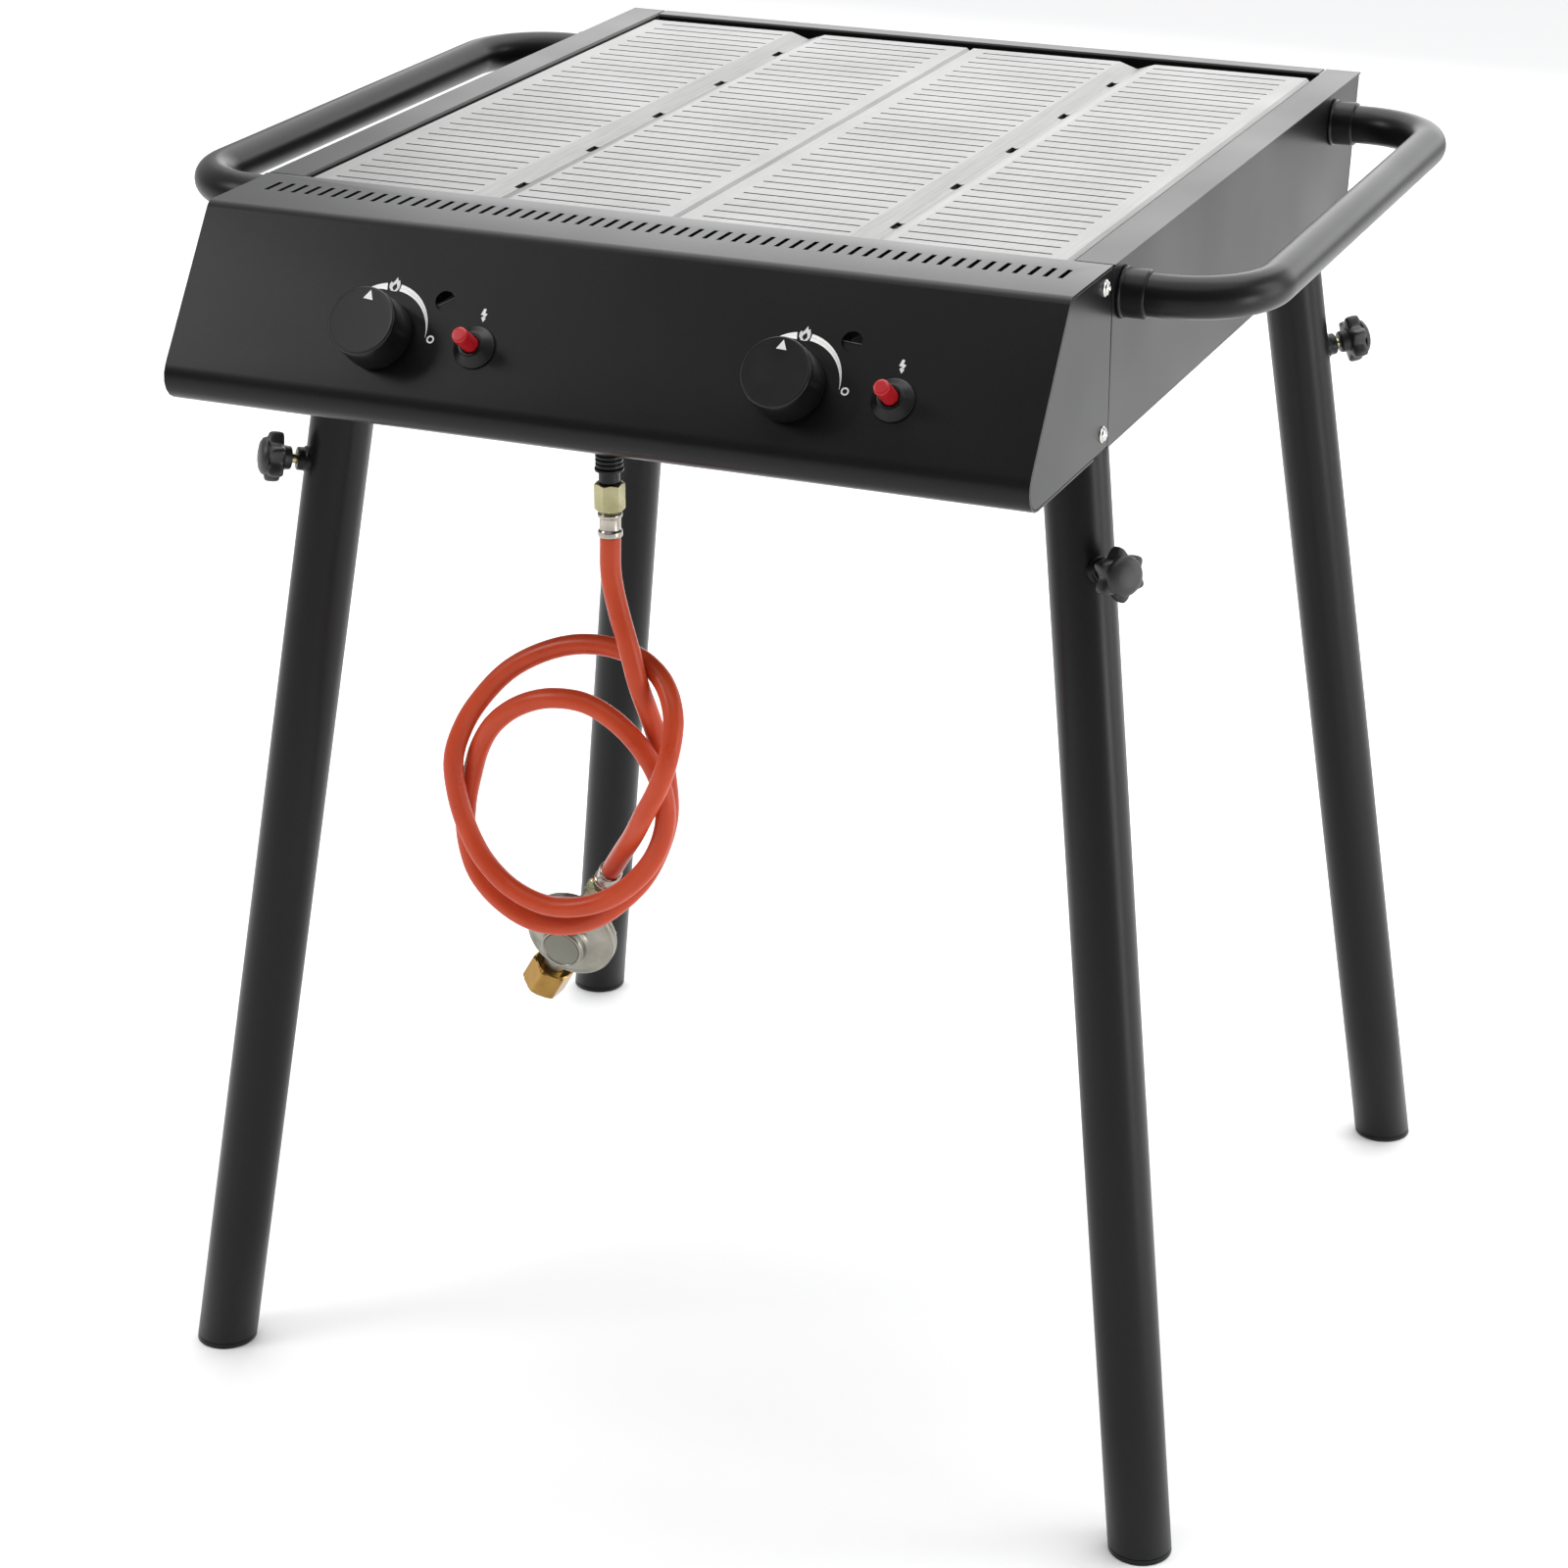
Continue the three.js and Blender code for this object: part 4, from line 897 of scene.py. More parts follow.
@dataclass
class HoseSet:
    """The gas inlet, the hose in its two loops, and the regulator with its union nut."""

    shop: Workshop
    base_level: float = 850.0
    inlet_x: float = 3.0
    inlet_y: float = -119.95
    inlet_radius: float = 7.5
    collar_radius: float = 10.4
    collar_from: float = 4.0
    collar_to: float = 21.0
    inlet_end: float = 29.0
    gap: float = 0.3
    nut_flats: float = 19.0
    nut_length: float = 20.5
    ferrule_radius: float = 8.8
    ferrule_length: float = 19.0
    hose_radius: float = 7.5
    ring_spacing: float = 5.0
    body_along: float = 53.3
    body_radius: float = 19.0
    housing_ahead: float = 12.0
    housing_radius: float = 35.0
    cap_radius: float = 17.0
    cap_front: float = 22.0
    inlet_way: tuple[float, float, float] = (-0.511, 0.157, -0.845)
    cap_way: tuple[float, float, float] = (0.038, -0.978, -0.204)
    spigot: float = 9.0
    union_flats: float = 30.0
    union_from: float = 47.6
    union_length: float = 25.0
    union_mouth: float = 10.9
    union_depth: float = 15.0
    route: tuple[tuple[int, int, int], ...] = (
        (0, 0, 0), (0, 0, -28), (6, -1, -55), (14, -2, -81), (20, 0, -108), (24, 9, -134), (28, 17, -160),
        (32, 20, -187), (33, 20, -215), (27, 17, -241), (15, 15, -266), (-3, 13, -287), (-24, 12, -304),
        (-50, 12, -314), (-77, 12, -314), (-103, 14, -303), (-122, 16, -284), (-130, 17, -257),
        (-128, 15, -230), (-121, 13, -203), (-111, 8, -178), (-96, 3, -156), (-75, 1, -139),
        (-49, 0, -129), (-21, 0, -129), (4, -1, -140), (24, -1, -159), (37, -1, -183), (40, -1, -210),
        (32, -1, -237), (17, -3, -259), (-4, -4, -277), (-29, -5, -288), (-56, -5, -291), (-83, -4, -283),
        (-104, -4, -265), (-118, -3, -242), (-126, -3, -216), (-129, -1, -188), (-122, 5, -162),
        (-108, 10, -139), (-90, 15, -119), (-67, 18, -104), (-41, 20, -94), (-14, 20, -91), (13, 17, -95),
        (36, 7, -106), (50, -7, -125), (51, -17, -150), (43, -19, -176), (29, -14, -202), (15, -2, -225),
        (-2, 13, -249), (-15, 24, -268),
    )

    def centreline(self) -> Array:
        """The hose's middle from its exit: a uniform Catmull-Rom spline, sampled at even steps of its length.

        Between points b and c, with a before and d after, it is half of 2b + (c - a)t + (2a - 5b +
        4c - d)t^2 + (3b - a - 3c + d)t^3. The ends mirror their neighbours.
        """
        p = np.array(self.route, float)
        p = np.concatenate([[2 * p[0] - p[1]], p, [2 * p[-1] - p[-2]]])
        t = np.linspace(0, 1, 24, endpoint=False)[None, :, None]
        a, b, c, d = p[:-3, None], p[1:-2, None], p[2:-1, None], p[3:, None]
        square, cube = 2 * a - 5 * b + 4 * c - d, 3 * b - a - 3 * c + d
        spline = 0.5 * (2 * b + (c - a) * t + square * t**2 + cube * t**3)
        line = np.concatenate([spline.reshape(-1, 3), p[-2:-1]]) + self.exit
        run = np.concatenate([[0], np.cumsum(np.linalg.norm(np.diff(line, axis=0), axis=1))])
        at = np.linspace(0, run[-1], int(run[-1] / self.ring_spacing) + 1)
        return np.stack([np.interp(at, run, line[:, k]) for k in range(3)], axis=1)

    @property
    def exit(self) -> Array:
        """Where the hose leaves its upper ferrule."""
        drop = self.inlet_end + self.nut_length + self.ferrule_length + 3 * self.gap
        return np.array([self.inlet_x, self.inlet_y, self.base_level - drop])

    @property
    def hang(self) -> Basis:
        """The basis of the upper fittings: z runs down from the underside."""
        return Basis.at((self.inlet_x, self.inlet_y, self.base_level), (0, 0, -1), (1, 0, 0))

    @property
    def tail(self) -> Basis:
        """The basis of the lower fittings: z runs on along the hose, and x faces the front."""
        last = np.array(self.route[-2:], float)
        return Basis.at(last[1] + self.exit, last[1] - last[0], (0, -1, 0))

    def ferrule(self, basis: Basis, nut_first: bool) -> Surface:
        """A crimped ferrule: a rolled collar at the nut, a pressed barrel and a plain lip round the hose.

        Args:
            basis: Its axis is z, along the hose.
            nut_first: Whether the nut is at z = 0, rather than the hose.

        Returns:
            The closed surface.
        """
        r, n = self.ferrule_radius, self.ferrule_length
        corners = [
            [0, 0], [r - 1.6, 0, 0.4], [r - 1.4, 1.0, 0.5], [r, 1.6, 0.7], [r, 4.0, 0.9], [r - 1.2, 5.0, 0.7],
            [r - 1.2, 13.4, 0.7], [r - 0.1, 14.4, 0.6], [r, n - 1.0, 0.7], [r - 0.8, n, 0.4], [0, n],
        ]
        if not nut_first:
            corners = [[c[0], n - c[1], *c[2:]] for c in reversed(corners)]
        return Surface().turned(corners, basis, 48, 3)

    def build_hose(self) -> None:
        line = self.centreline()
        tube = Surface().add(tube_grid(line, self.hose_radius, 24))
        hose = self.shop.piece("hose", tube, HOSE_RUBBER, GRILL, ["gas_hose"], crease=60)
        fittings = self.build_fittings()
        self.shop.datum.point(*self.exit)
        self.shop.datum.metres(line).tolist()

    def build_fittings(self) -> list[bpy.types.Object]:
        """Makes the nuts, ferrules, regulator and union nut, and returns them."""
        shop, hang, tail = self.shop, self.hang, self.tail
        nut_from = self.inlet_end + self.gap
        ferrule_from = nut_from + self.nut_length + self.gap
        tail_nut = self.gap + self.ferrule_length + self.gap
        made = [
            shop.piece(
                "upper_hose_nut",
                hex_nut(hang.shifted(0, 0, nut_from), self.nut_flats, self.nut_length, turn_deg=30),
                PLATING, GRILL, ["hose_nut_upper"], crease=20,
            ),
            shop.piece(
                "upper_ferrule", self.ferrule(hang.shifted(0, 0, ferrule_from), True), CRIMP, GRILL,
                ["ferrule_upper"],
            ),
            shop.piece(
                "lower_ferrule", self.ferrule(tail.shifted(0, 0, self.gap), False), CRIMP, GRILL,
                ["ferrule_lower"],
            ),
            shop.piece(
                "lower_hose_nut",
                hex_nut(tail.shifted(0, 0, tail_nut), self.nut_flats, self.nut_length),
                PLATING, GRILL, ["hose_nut_lower"], crease=20,
            ),
        ]
        made += self.build_regulator(tail, tail_nut + self.nut_length + self.gap)
        return made

    def build_regulator(self, tail: Basis, start: float) -> list[bpy.types.Object]:
        """Makes the regulator and its union nut.

        Args:
            tail: The basis of the lower fittings.
            start: How far along it the regulator begins.

        Returns:
            The pieces.
        """
        along = start + self.body_along
        stem = Basis.at(tail.place(np.array([0, 0, along])), self.inlet_way, self.cap_way)
        face = Basis(stem.place(np.array([self.housing_ahead, 0, 0])), -stem.z, stem.y, stem.x)
        r, cap, front, neck = self.housing_radius, self.cap_radius, self.cap_front, self.body_radius
        body = Surface()
        body.turned(
            [
                [0, -22], [neck - 2, -22, 2], [neck, -19.5, 2], [neck, -11, 3], [r - 7, -6, 3],
                 [r - 1.2, -4.2, 1],
                [r, -3.2, 0.8], [r, -0.7, 0.4], [r - 1, -0.3, 0.2], [r - 1, 0.3, 0.2], [r, 0.7, 0.4],
                [r, 3.4, 0.8], [r - 1.6, 4.6, 1], [r - 2.4, 4.2, 0.4], [r - 6.5, 6.4, 3], [cap + 8, 8.5, 3],
                [cap + 2.5, 10, 2], [cap, 13.5, 2.5], [cap, front - 1.6, 1.4], [cap - 1.6, front, 1],
                [cap - 2.6, front - 0.2, 0.3], [cap - 3.1, front - 1.0, 0.3], [0, front - 1.0],
            ],
            face, 96,
        )
        stem_end = self.union_from + self.union_length - self.union_depth
        s = self.spigot
        reach = self.body_along
        body.turned(
            [[0, 0], [s - 1, 0, 0.6], [s - 1, 6, 0.5], [s - 2, 7, 0.5], [s - 2, 20, 0.5], [s - 0.4, 24, 2],
             [s + 1.5, reach - 14, 3], [s + 2.5, reach - 4], [0, reach - 4]],
            tail.shifted(0, 0, start),
        )
        body.turned(
            [[0, 8], [s + 3, 8, 1], [s + 2.4, 19, 1.5], [s + 1, 21, 0.8], [s, 23.5, 0.8], [s, stem_end, 0.2],
             [10.4, stem_end, 0.3], [10.4, stem_end + 2.4, 0.6], [4, stem_end + 2.4, 0.2],
             [4, stem_end - 4], [0, stem_end - 4]],
            stem,
        )
        for k in range(5):
            angle = TAU * (k + 0.2) / 5
            spot = face.shifted((r - 4.4) * math.cos(angle), (r - 4.4) * math.sin(angle), -7.5)
            body.turned([[0, 0], [2.6, 0, 0.6], [2.6, 4.2], [0, 4.2]], spot, 20)
        label = Surface().turned(
            [[0, 0], [cap - 3.4, 0], [cap - 3.4, 0.5, 0.15], [0, 0.5]], face.shifted(0, 0, front - 1.05), 64
        )
        housing = self.shop.piece("gas_regulator", body, CASTING, GRILL, ["regulator"], crease=30)
        badge = self.shop.piece("regulator_blank_label", label, LABEL, GRILL)
        return [housing, badge, self.union_nut(stem.shifted(0, 0, self.union_from))]

    def union_nut(self, basis: Basis) -> bpy.types.Object:
        """The brass union nut: a chamfered hexagon with a threaded mouth, whose grooves are turned rings."""
        n, depth = self.union_length, self.union_depth
        angle = np.linspace(0, TAU, 72, endpoint=False)
        outside = hex_nut(basis, self.union_flats, n, 2.2, 1.0, 12).vertices[0].reshape(-1, 72, 3)[1:-1]
        step = n - depth - self.gap
        thread = np.arange(n - 1.6, step + 2, -0.75)
        zigzag = self.union_mouth + 0.35 * np.where(np.arange(len(thread)) % 2, 1, -1)
        profile = np.array(
            [[self.union_mouth + 1.2, n], *np.stack([zigzag, thread], axis=1).tolist(),
             [self.union_mouth, step], [self.spigot + 0.6, step], [self.spigot + 0.6, 0]]
        )
        inside = basis.place(turned_grid(profile, len(angle)))
        surface = Surface().add(np.concatenate([outside, inside]), wrap_rows=True)
        return self.shop.piece("brass_union_nut", surface, BRASS, "union_nut", ["union_nut"], crease=20)

    def build_inlet(self) -> None:
        """Makes the black inlet elbow's visible stub: a knurled collar over a plain neck."""
        r, c = self.inlet_radius, self.collar_radius
        corners = [[0, -12], [r, -12], [r, self.collar_from - 0.5, 0.3], [c - 2, self.collar_from, 0.6]]
        for rib in np.arange(self.collar_from + 1.5, self.collar_to - 3, 3.2):
            corners += [[c - 0.6, rib, 0.5], [c - 0.6, rib + 2.0, 0.5], [c - 1.5, rib + 2.3, 0.3]]
            corners += [[c - 1.5, rib + 2.9, 0.3]]
        top = self.collar_to
        corners += [[c, top - 2.4, 0.5], [c, top - 0.5, 0.5], [c - 1, top, 0.3]]
        corners += [[r, top, 0.4], [r, self.inlet_end, 0.3], [0, self.inlet_end]]
        inlet = Surface().turned(corners, self.hang)
        self.shop.piece("inlet_fitting", inlet, NYLON, GRILL, ["gas_inlet"])


# --------------------------------------------------------------------------------------------------
# Sheet-metal body and cooking plates
# --------------------------------------------------------------------------------------------------


@dataclass
class Cabinet:
    """The folded panels, rails and pan of the body, and the screws of its cheeks."""

    shop: Workshop
    half_width: float = 325.0
    top: float = 980.0
    screws: tuple[tuple[float, float], ...] = ((-17.0, 968.0), (-13.0, 864.0))
    screw_radius: float = 6.0

    def build(self) -> None:
        """Makes the panels with rounded edges, and dresses what stays hidden."""
        for node in ("front_panel", "left_side_panel", "right_side_panel", "back_panel"):
            self.shop.sheet_copy(node, POWDER, edge=0.45)
        for side in Side:
            self.shop.sheet_copy(f"{side.word}_cheek", POWDER, edge=0.5)
            self.shop.sheet_copy(f"{side.word}_rail", POWDER, edge=0.5)
        self.shop.sheet_copy("back_rail", POWDER, edge=0.5)
        for node in ("base_pan", "centre_bar", "heat_shield"):
            self.shop.sheet_copy(node, POWDER if node == "base_pan" else ZINC, edge=0.3)
        self.build_screws()

    def build_screws(self) -> None:
        """Makes the cheeks' screws: a flanged pan head with a cross-shaped sink turned as a shallow cup."""
        for side in Side:
            heads = Surface()
            for y, z in self.screws:
                basis = Basis.at((side.value * (self.half_width + 0.02), y, z), (side.value, 0, 0), (0, 0, 1))
                r = self.screw_radius
                heads.turned(
                    [[0, 0], [r, 0], [r, 0.7, 0.3], [r - 0.9, 1.1, 0.5], [r - 1.6, 2.4, 1.2],
                     [2.2, 3.3, 0.6], [1.5, 2.9, 0.3], [0, 1.9]],
                    basis, 32,
                )
            self.shop.piece(f"{side.word}_cheek_screws", heads, SCREW_STEEL, GRILL)


@dataclass
class CookingTop:
    """The two slotted plates and the burners and tray beneath them."""

    shop: Workshop

    def build(self) -> None:
        """Makes the plates with softly broken edges, and dresses the burners and the tray."""
        for side in Side:
            word = side.word
            self.shop.sheet_copy(f"{word}_grate", PLATE_STEEL, f"{word}_grate", edge=0.35)
            self.shop.sheet_copy(f"{word}_burner", BURNER_STEEL, crease=40)
            self.shop.sheet_copy(f"{word}_spark_electrode", ALUMINA, crease=50)
        self.shop.sheet_copy("drip_tray", ZINC, "drip_tray", edge=0.4)


# --------------------------------------------------------------------------------------------------
# Controls
# --------------------------------------------------------------------------------------------------


def plate(basis: Basis, outer: Array, inner: Array | None = None, thickness: float = 0.12) -> Surface:
    """A thin printed shape that stands just proud of a flat surface.

    Both outlines are lists of the same number of local (x, y) points. The rows of the grid run
    round the shape's section: the outer edge below and above, then the inner edge above and below.

    Args:
        basis: Its x and y span the surface, and z points out of it.
        outer: The outer outline.
        inner: The inner outline, or none for a solid shape, whose middle is then its centroid.
        thickness: How far it stands proud.

    Returns:
        The closed surface.
    """
    if inner is None:
        inner = np.repeat(outer.mean(axis=0, keepdims=True), len(outer), axis=0)
    rows = []
    for outline, level in ((outer, 0.02), (outer, thickness), (inner, thickness), (inner, 0.02)):
        rows.append(np.concatenate([outline, np.full((len(outline), 1), level)], axis=1))
    return Surface().add(basis.place(np.stack(rows)), wrap_rows=True)


def matched_line(points: Array, per_side: int) -> Array:
    """Divides each side of a closed polygon into the same number of steps."""
    t = np.linspace(0, 1, per_side, endpoint=False)[None, :, None]
    following = np.roll(points, -1, axis=0)
    return (points[:, None] + (following - points)[:, None] * t).reshape(-1, 2)


def closed_line(points: Array, count: int) -> Array:
    """Divides a closed polygon into steps that keep its corners, about as many as are asked for."""
    return matched_line(points, max(1, round(count / len(points))))


def strip_outline(centre_angles: Array, inner: Array, outer: Array) -> tuple[Array, Array]:
    """The outline of an arc-shaped strip, clockwise angles from straight up.

    The point at clockwise angle a and radius r is (r sin a, r cos a). The outline goes out along
    the outer edge and back along the inner one.

    Args:
        centre_angles: The angles in degrees.
        inner: The inner radius at each angle.
        outer: The outer radius at each angle.

    Returns:
        The outline, and the same number of points along its middle, to be the inner side of a
        plate.
    """
    a = np.radians(centre_angles)
    ray = np.stack([np.sin(a), np.cos(a)], axis=1)
    there, back = ray * outer[:, None], (ray * inner[:, None])[::-1]
    middle = ray * ((inner + outer) / 2)[:, None]
    return np.concatenate([there, back]), np.concatenate([middle, middle[::-1]])


# Outlines of the printed signs, in millimetres: a flame, the hollow in it, and a spark.
FLAME = np.array(
    [
        [1.1, 6.0], [1.9, 3.4], [3.2, 3.9], [4.2, 0.8], [4.0, -2.0], [2.6, -4.3], [0.6, -4.6],
        [-2.0, -4.3], [-3.8, -2.0], [-3.9, 0.6], [-2.9, 2.5], [-2.0, 1.2], [-0.4, 3.2],
    ]
)
FLAME_HOLLOW = np.array(
    [
        [0.9, 1.6], [1.5, 0.6], [2.0, -0.4], [2.2, -1.4], [1.9, -2.4], [1.2, -3.2], [0.3, -4.3],
        [-0.5, -3.2], [-1.2, -2.4], [-1.3, -1.4], [-0.9, -0.6], [-0.3, 0.1], [0.4, 0.6],
    ]
)
SPARK = np.array(
    [
        [-0.9, 4.9], [1.0, 4.5], [0.5, 1.7], [2.5, 1.3], [0.9, -2.0], [1.9, -2.3], [0.3, -4.9],
        [-1.7, -1.8], [-0.6, -1.9], [-0.2, -0.1], [-2.4, 0.2],
    ]
)


@dataclass
class Controls:
    """The knobs, igniters and printed marks on the slanted face, one set for each burner."""

    shop: Workshop
    knob_x: tuple[float, float] = (-163.5, 146.0)
    ledge_depth: float = 88.7
    top: float = 980.0
    tilt_deg: float = 35.0
    down: float = 84.4
    igniter_across: float = 73.5
    knob_radius: float = 26.0
    knob_lift: float = 4.0
    knob_height: float = 33.0
    button_radius: float = 6.0
    button_proud: float = 28.0
    collar_foot: float = 15.5
    collar_top: float = 9.6
    collar_height: float = 8.0
    arc_radius: float = 33.6
    arc_shift: tuple[float, float] = (0.9, 5.8)
    pointer_turn_deg: tuple[float, float] = (6.0, 3.0)
    sight_holes: tuple[tuple[float, float], ...] = ((42.5, 30.9), (35.5, 36.8))
    sight_radius: float = 7.5
    shutter_deg: tuple[float, float] = (32.0, -4.0)

    def basis(self, x: float) -> Basis:
        """The basis of a control at x: z out of the slanted face, y up it and x to the right."""
        tilt = math.radians(self.tilt_deg)
        y = -self.ledge_depth - math.sin(tilt) * self.down
        z = self.top - math.cos(tilt) * self.down
        return Basis.at((x, y, z), (0, -math.cos(tilt), math.sin(tilt)), (1, 0, 0))

    def build(self) -> None:
        """Makes the set of each side."""
        for i, (side, x) in enumerate(zip(Side, self.knob_x)):
            self.build_knob(side, self.basis(x), math.radians(self.pointer_turn_deg[i]))
            self.build_igniter(side, self.basis(x + self.igniter_across))
            self.build_marks(side, self.basis(x))
            self.build_shutter(side, self.basis(x).shifted(*self.sight_holes[i], -1.5), self.shutter_deg[i])
            self.shop.sheet_copy(f"{side.word}_gas_valve", BRASS, crease=40)
            self.shop.sheet_copy(f"{side.word}_push_sleeve", BRASS, f"{side.word}_push", crease=40)
            self.shop.sheet_copy(f"{side.word}_spindle", BRASS, f"{side.word}_knob", crease=40)
            self.shop.sheet_copy(f"{side.word}_igniter_body", NYLON, crease=40)
        self.shop.sheet_copy("gas_manifold", CASTING, crease=40)

    def build_knob(self, side: Side, basis: Basis, pointer_turn: float) -> None:
        """Makes a knob: a hollow cap with a soft rim and a slightly dished face, and its pointer.

        Args:
            side: Which burner it is for.
            basis: The control's basis.
            pointer_turn: How far the pointer is turned clockwise from straight up, in radians.
        """
        r, low, high = self.knob_radius, self.knob_lift, self.knob_height
        body = f"{side.word}_knob"
        corners = [
            [0, high - 3.2], [r - 4, high - 3.2, 1], [r - 2.7, low + 0.4, 0.4], [r - 2.2, low, 0.5],
            [r - 0.4, low, 0.5], [r, low + 1.2, 0.6], [r - 0.7, high - 4.4, 1.5], [r - 1.0, high - 1.1, 0.9],
            [r - 2.0, high, 0.9], [r - 3.0, high - 0.1, 0.4], [0, high - 0.3],
        ]
        cap = Surface().turned(corners, basis, 96, 5)
        hub = [[0, high - 3], [7.5, high - 3], [7.5, low + 4, 0.6], [4.4, low + 4, 0.3], [4.4, high - 9.5],
               [0, high - 9.5]]
        cap.turned(hub, basis, 40)
        self.shop.piece(f"{side.word}_control_knob", cap, NYLON, body, [f"{side.word}_knob"], crease=45)
        tip = np.array([[0.0, 22.4], [3.7, 15.6], [-3.7, 15.6]])
        c, d = math.cos(pointer_turn), math.sin(pointer_turn)
        outline = closed_line(tip @ np.array([[c, -d], [d, c]]), 24)
        pointer = plate(basis.shifted(0, 0, high - 0.25), outline, thickness=0.35)
        self.shop.piece(f"{side.word}_knob_pointer", pointer, INK, body)

    def build_igniter(self, side: Side, basis: Basis) -> None:
        """Makes an igniter's conical collar and its red button."""
        bore, foot = self.button_radius + 0.3, self.collar_foot
        neck, high = self.collar_top, self.collar_height
        collar = Surface().ring(
            [[bore, 0.1], [foot, 0.1], [foot, 1.6, 0.8], [foot - 1.4, 2.6, 0.8],
             [neck + 0.4, high - 1.2, 0.8],
             [neck - 0.6, high, 0.8], [bore + 0.4, high, 0.4], [bore, high - 0.8, 0.4]],
            basis, 64,
        )
        self.shop.piece(
            f"{side.word}_igniter_bezel", collar, NYLON, GRILL, [f"{side.word}_igniter_collar"], crease=50
        )
        r, tip = self.button_radius, self.button_proud
        button = Surface().turned(
            [[0, -6], [r - 0.1, -6, 0.3], [r - 0.15, tip - 2.4, 0.5], [r - 0.5, tip - 0.6, 0.8],
             [r - 1.6, tip, 0.9], [0, tip - 0.05]],
            basis, 48,
        )
        self.shop.piece(
            f"{side.word}_red_button", button, RED_ABS, f"{side.word}_button",
            [f"{side.word}_igniter_button"], crease=50,
        )

    def build_marks(self, side: Side, basis: Basis) -> None:
        """Makes the printed marks: a tapering arc round the knob, a flame, a ring for off, and a spark."""
        dial = basis.shifted(self.arc_shift[0], self.arc_shift[1], 0)
        r = self.arc_radius
        marks = Surface()
        angles = np.linspace(-30, -9, 14)
        width = 5.2 * (1 + (angles + 9) / 34)
        marks.join(plate(dial, *strip_outline(angles, r - width, np.full(14, r))))
        angles = np.linspace(10, 95, 60)
        width = 4.9 * (1 - ((angles - 10) / 86) ** 1.35)
        marks.join(plate(dial, *strip_outline(angles, r - width - 0.12, np.full(60, r))))
        turn = np.linspace(0, TAU, 40, endpoint=False)
        off = math.radians(95.6)
        centre = np.array([math.sin(off), math.cos(off)]) * (r + 4.3)
        circle = np.stack([np.sin(turn), np.cos(turn)], axis=1)
        marks.join(plate(dial, centre + 2.9 * circle, centre + 1.7 * circle))
        flame = dial.shifted(0.4, r - 1.4, 0)
        marks.join(plate(flame, matched_line(FLAME, 8), matched_line(FLAME_HOLLOW, 8)))
        marks.join(plate(basis.shifted(self.igniter_across + 1.0, 24.0, 0), closed_line(SPARK, 66)))
        self.shop.piece(f"{side.word}_dial_print", marks, INK, GRILL)

    def build_shutter(self, side: Side, basis: Basis, slope_deg: float) -> None:
        """Makes the half-moon draught shutter inside a sight hole, and its folded edge.

        The shutter's outline is a chord through the hole's centre and the half circle below it.

        Args:
            side: Which burner it is for.
            basis: The control's basis, moved to the hole's centre at the back of the sheet.
            slope_deg: How far its upper edge is turned from level.
        """
        turn = np.radians(np.linspace(180, 360, 41) + slope_deg)
        rim = (self.sight_radius + 1.5) * np.stack([np.cos(turn), np.sin(turn)], axis=1)
        flap = plate(basis.shifted(0, 0, -1.6), rim, thickness=0.9)
        self.shop.piece(f"{side.word}_draught_shutter", flap, POWDER, GRILL)
        # The fold gets grey steel rather than the shutter's black powder, so that it shows as a light line: a
        # painted highlight along the shutter's edge.
        ends = np.concatenate([rim[[0, -1]] * 0.97, [[-0.6], [-0.6]]], axis=1)
        edge = basis.place(ends[0] + (ends[1] - ends[0]) * np.linspace(0, 1, 9)[:, None])
        fold = Surface().add(tube_grid(edge, 0.5, 12))
        self.shop.piece(f"{side.word}_shutter_fold", fold, PAINTED_HIGHLIGHT_STEEL, GRILL)


# --------------------------------------------------------------------------------------------------
# Legs and handles
# --------------------------------------------------------------------------------------------------


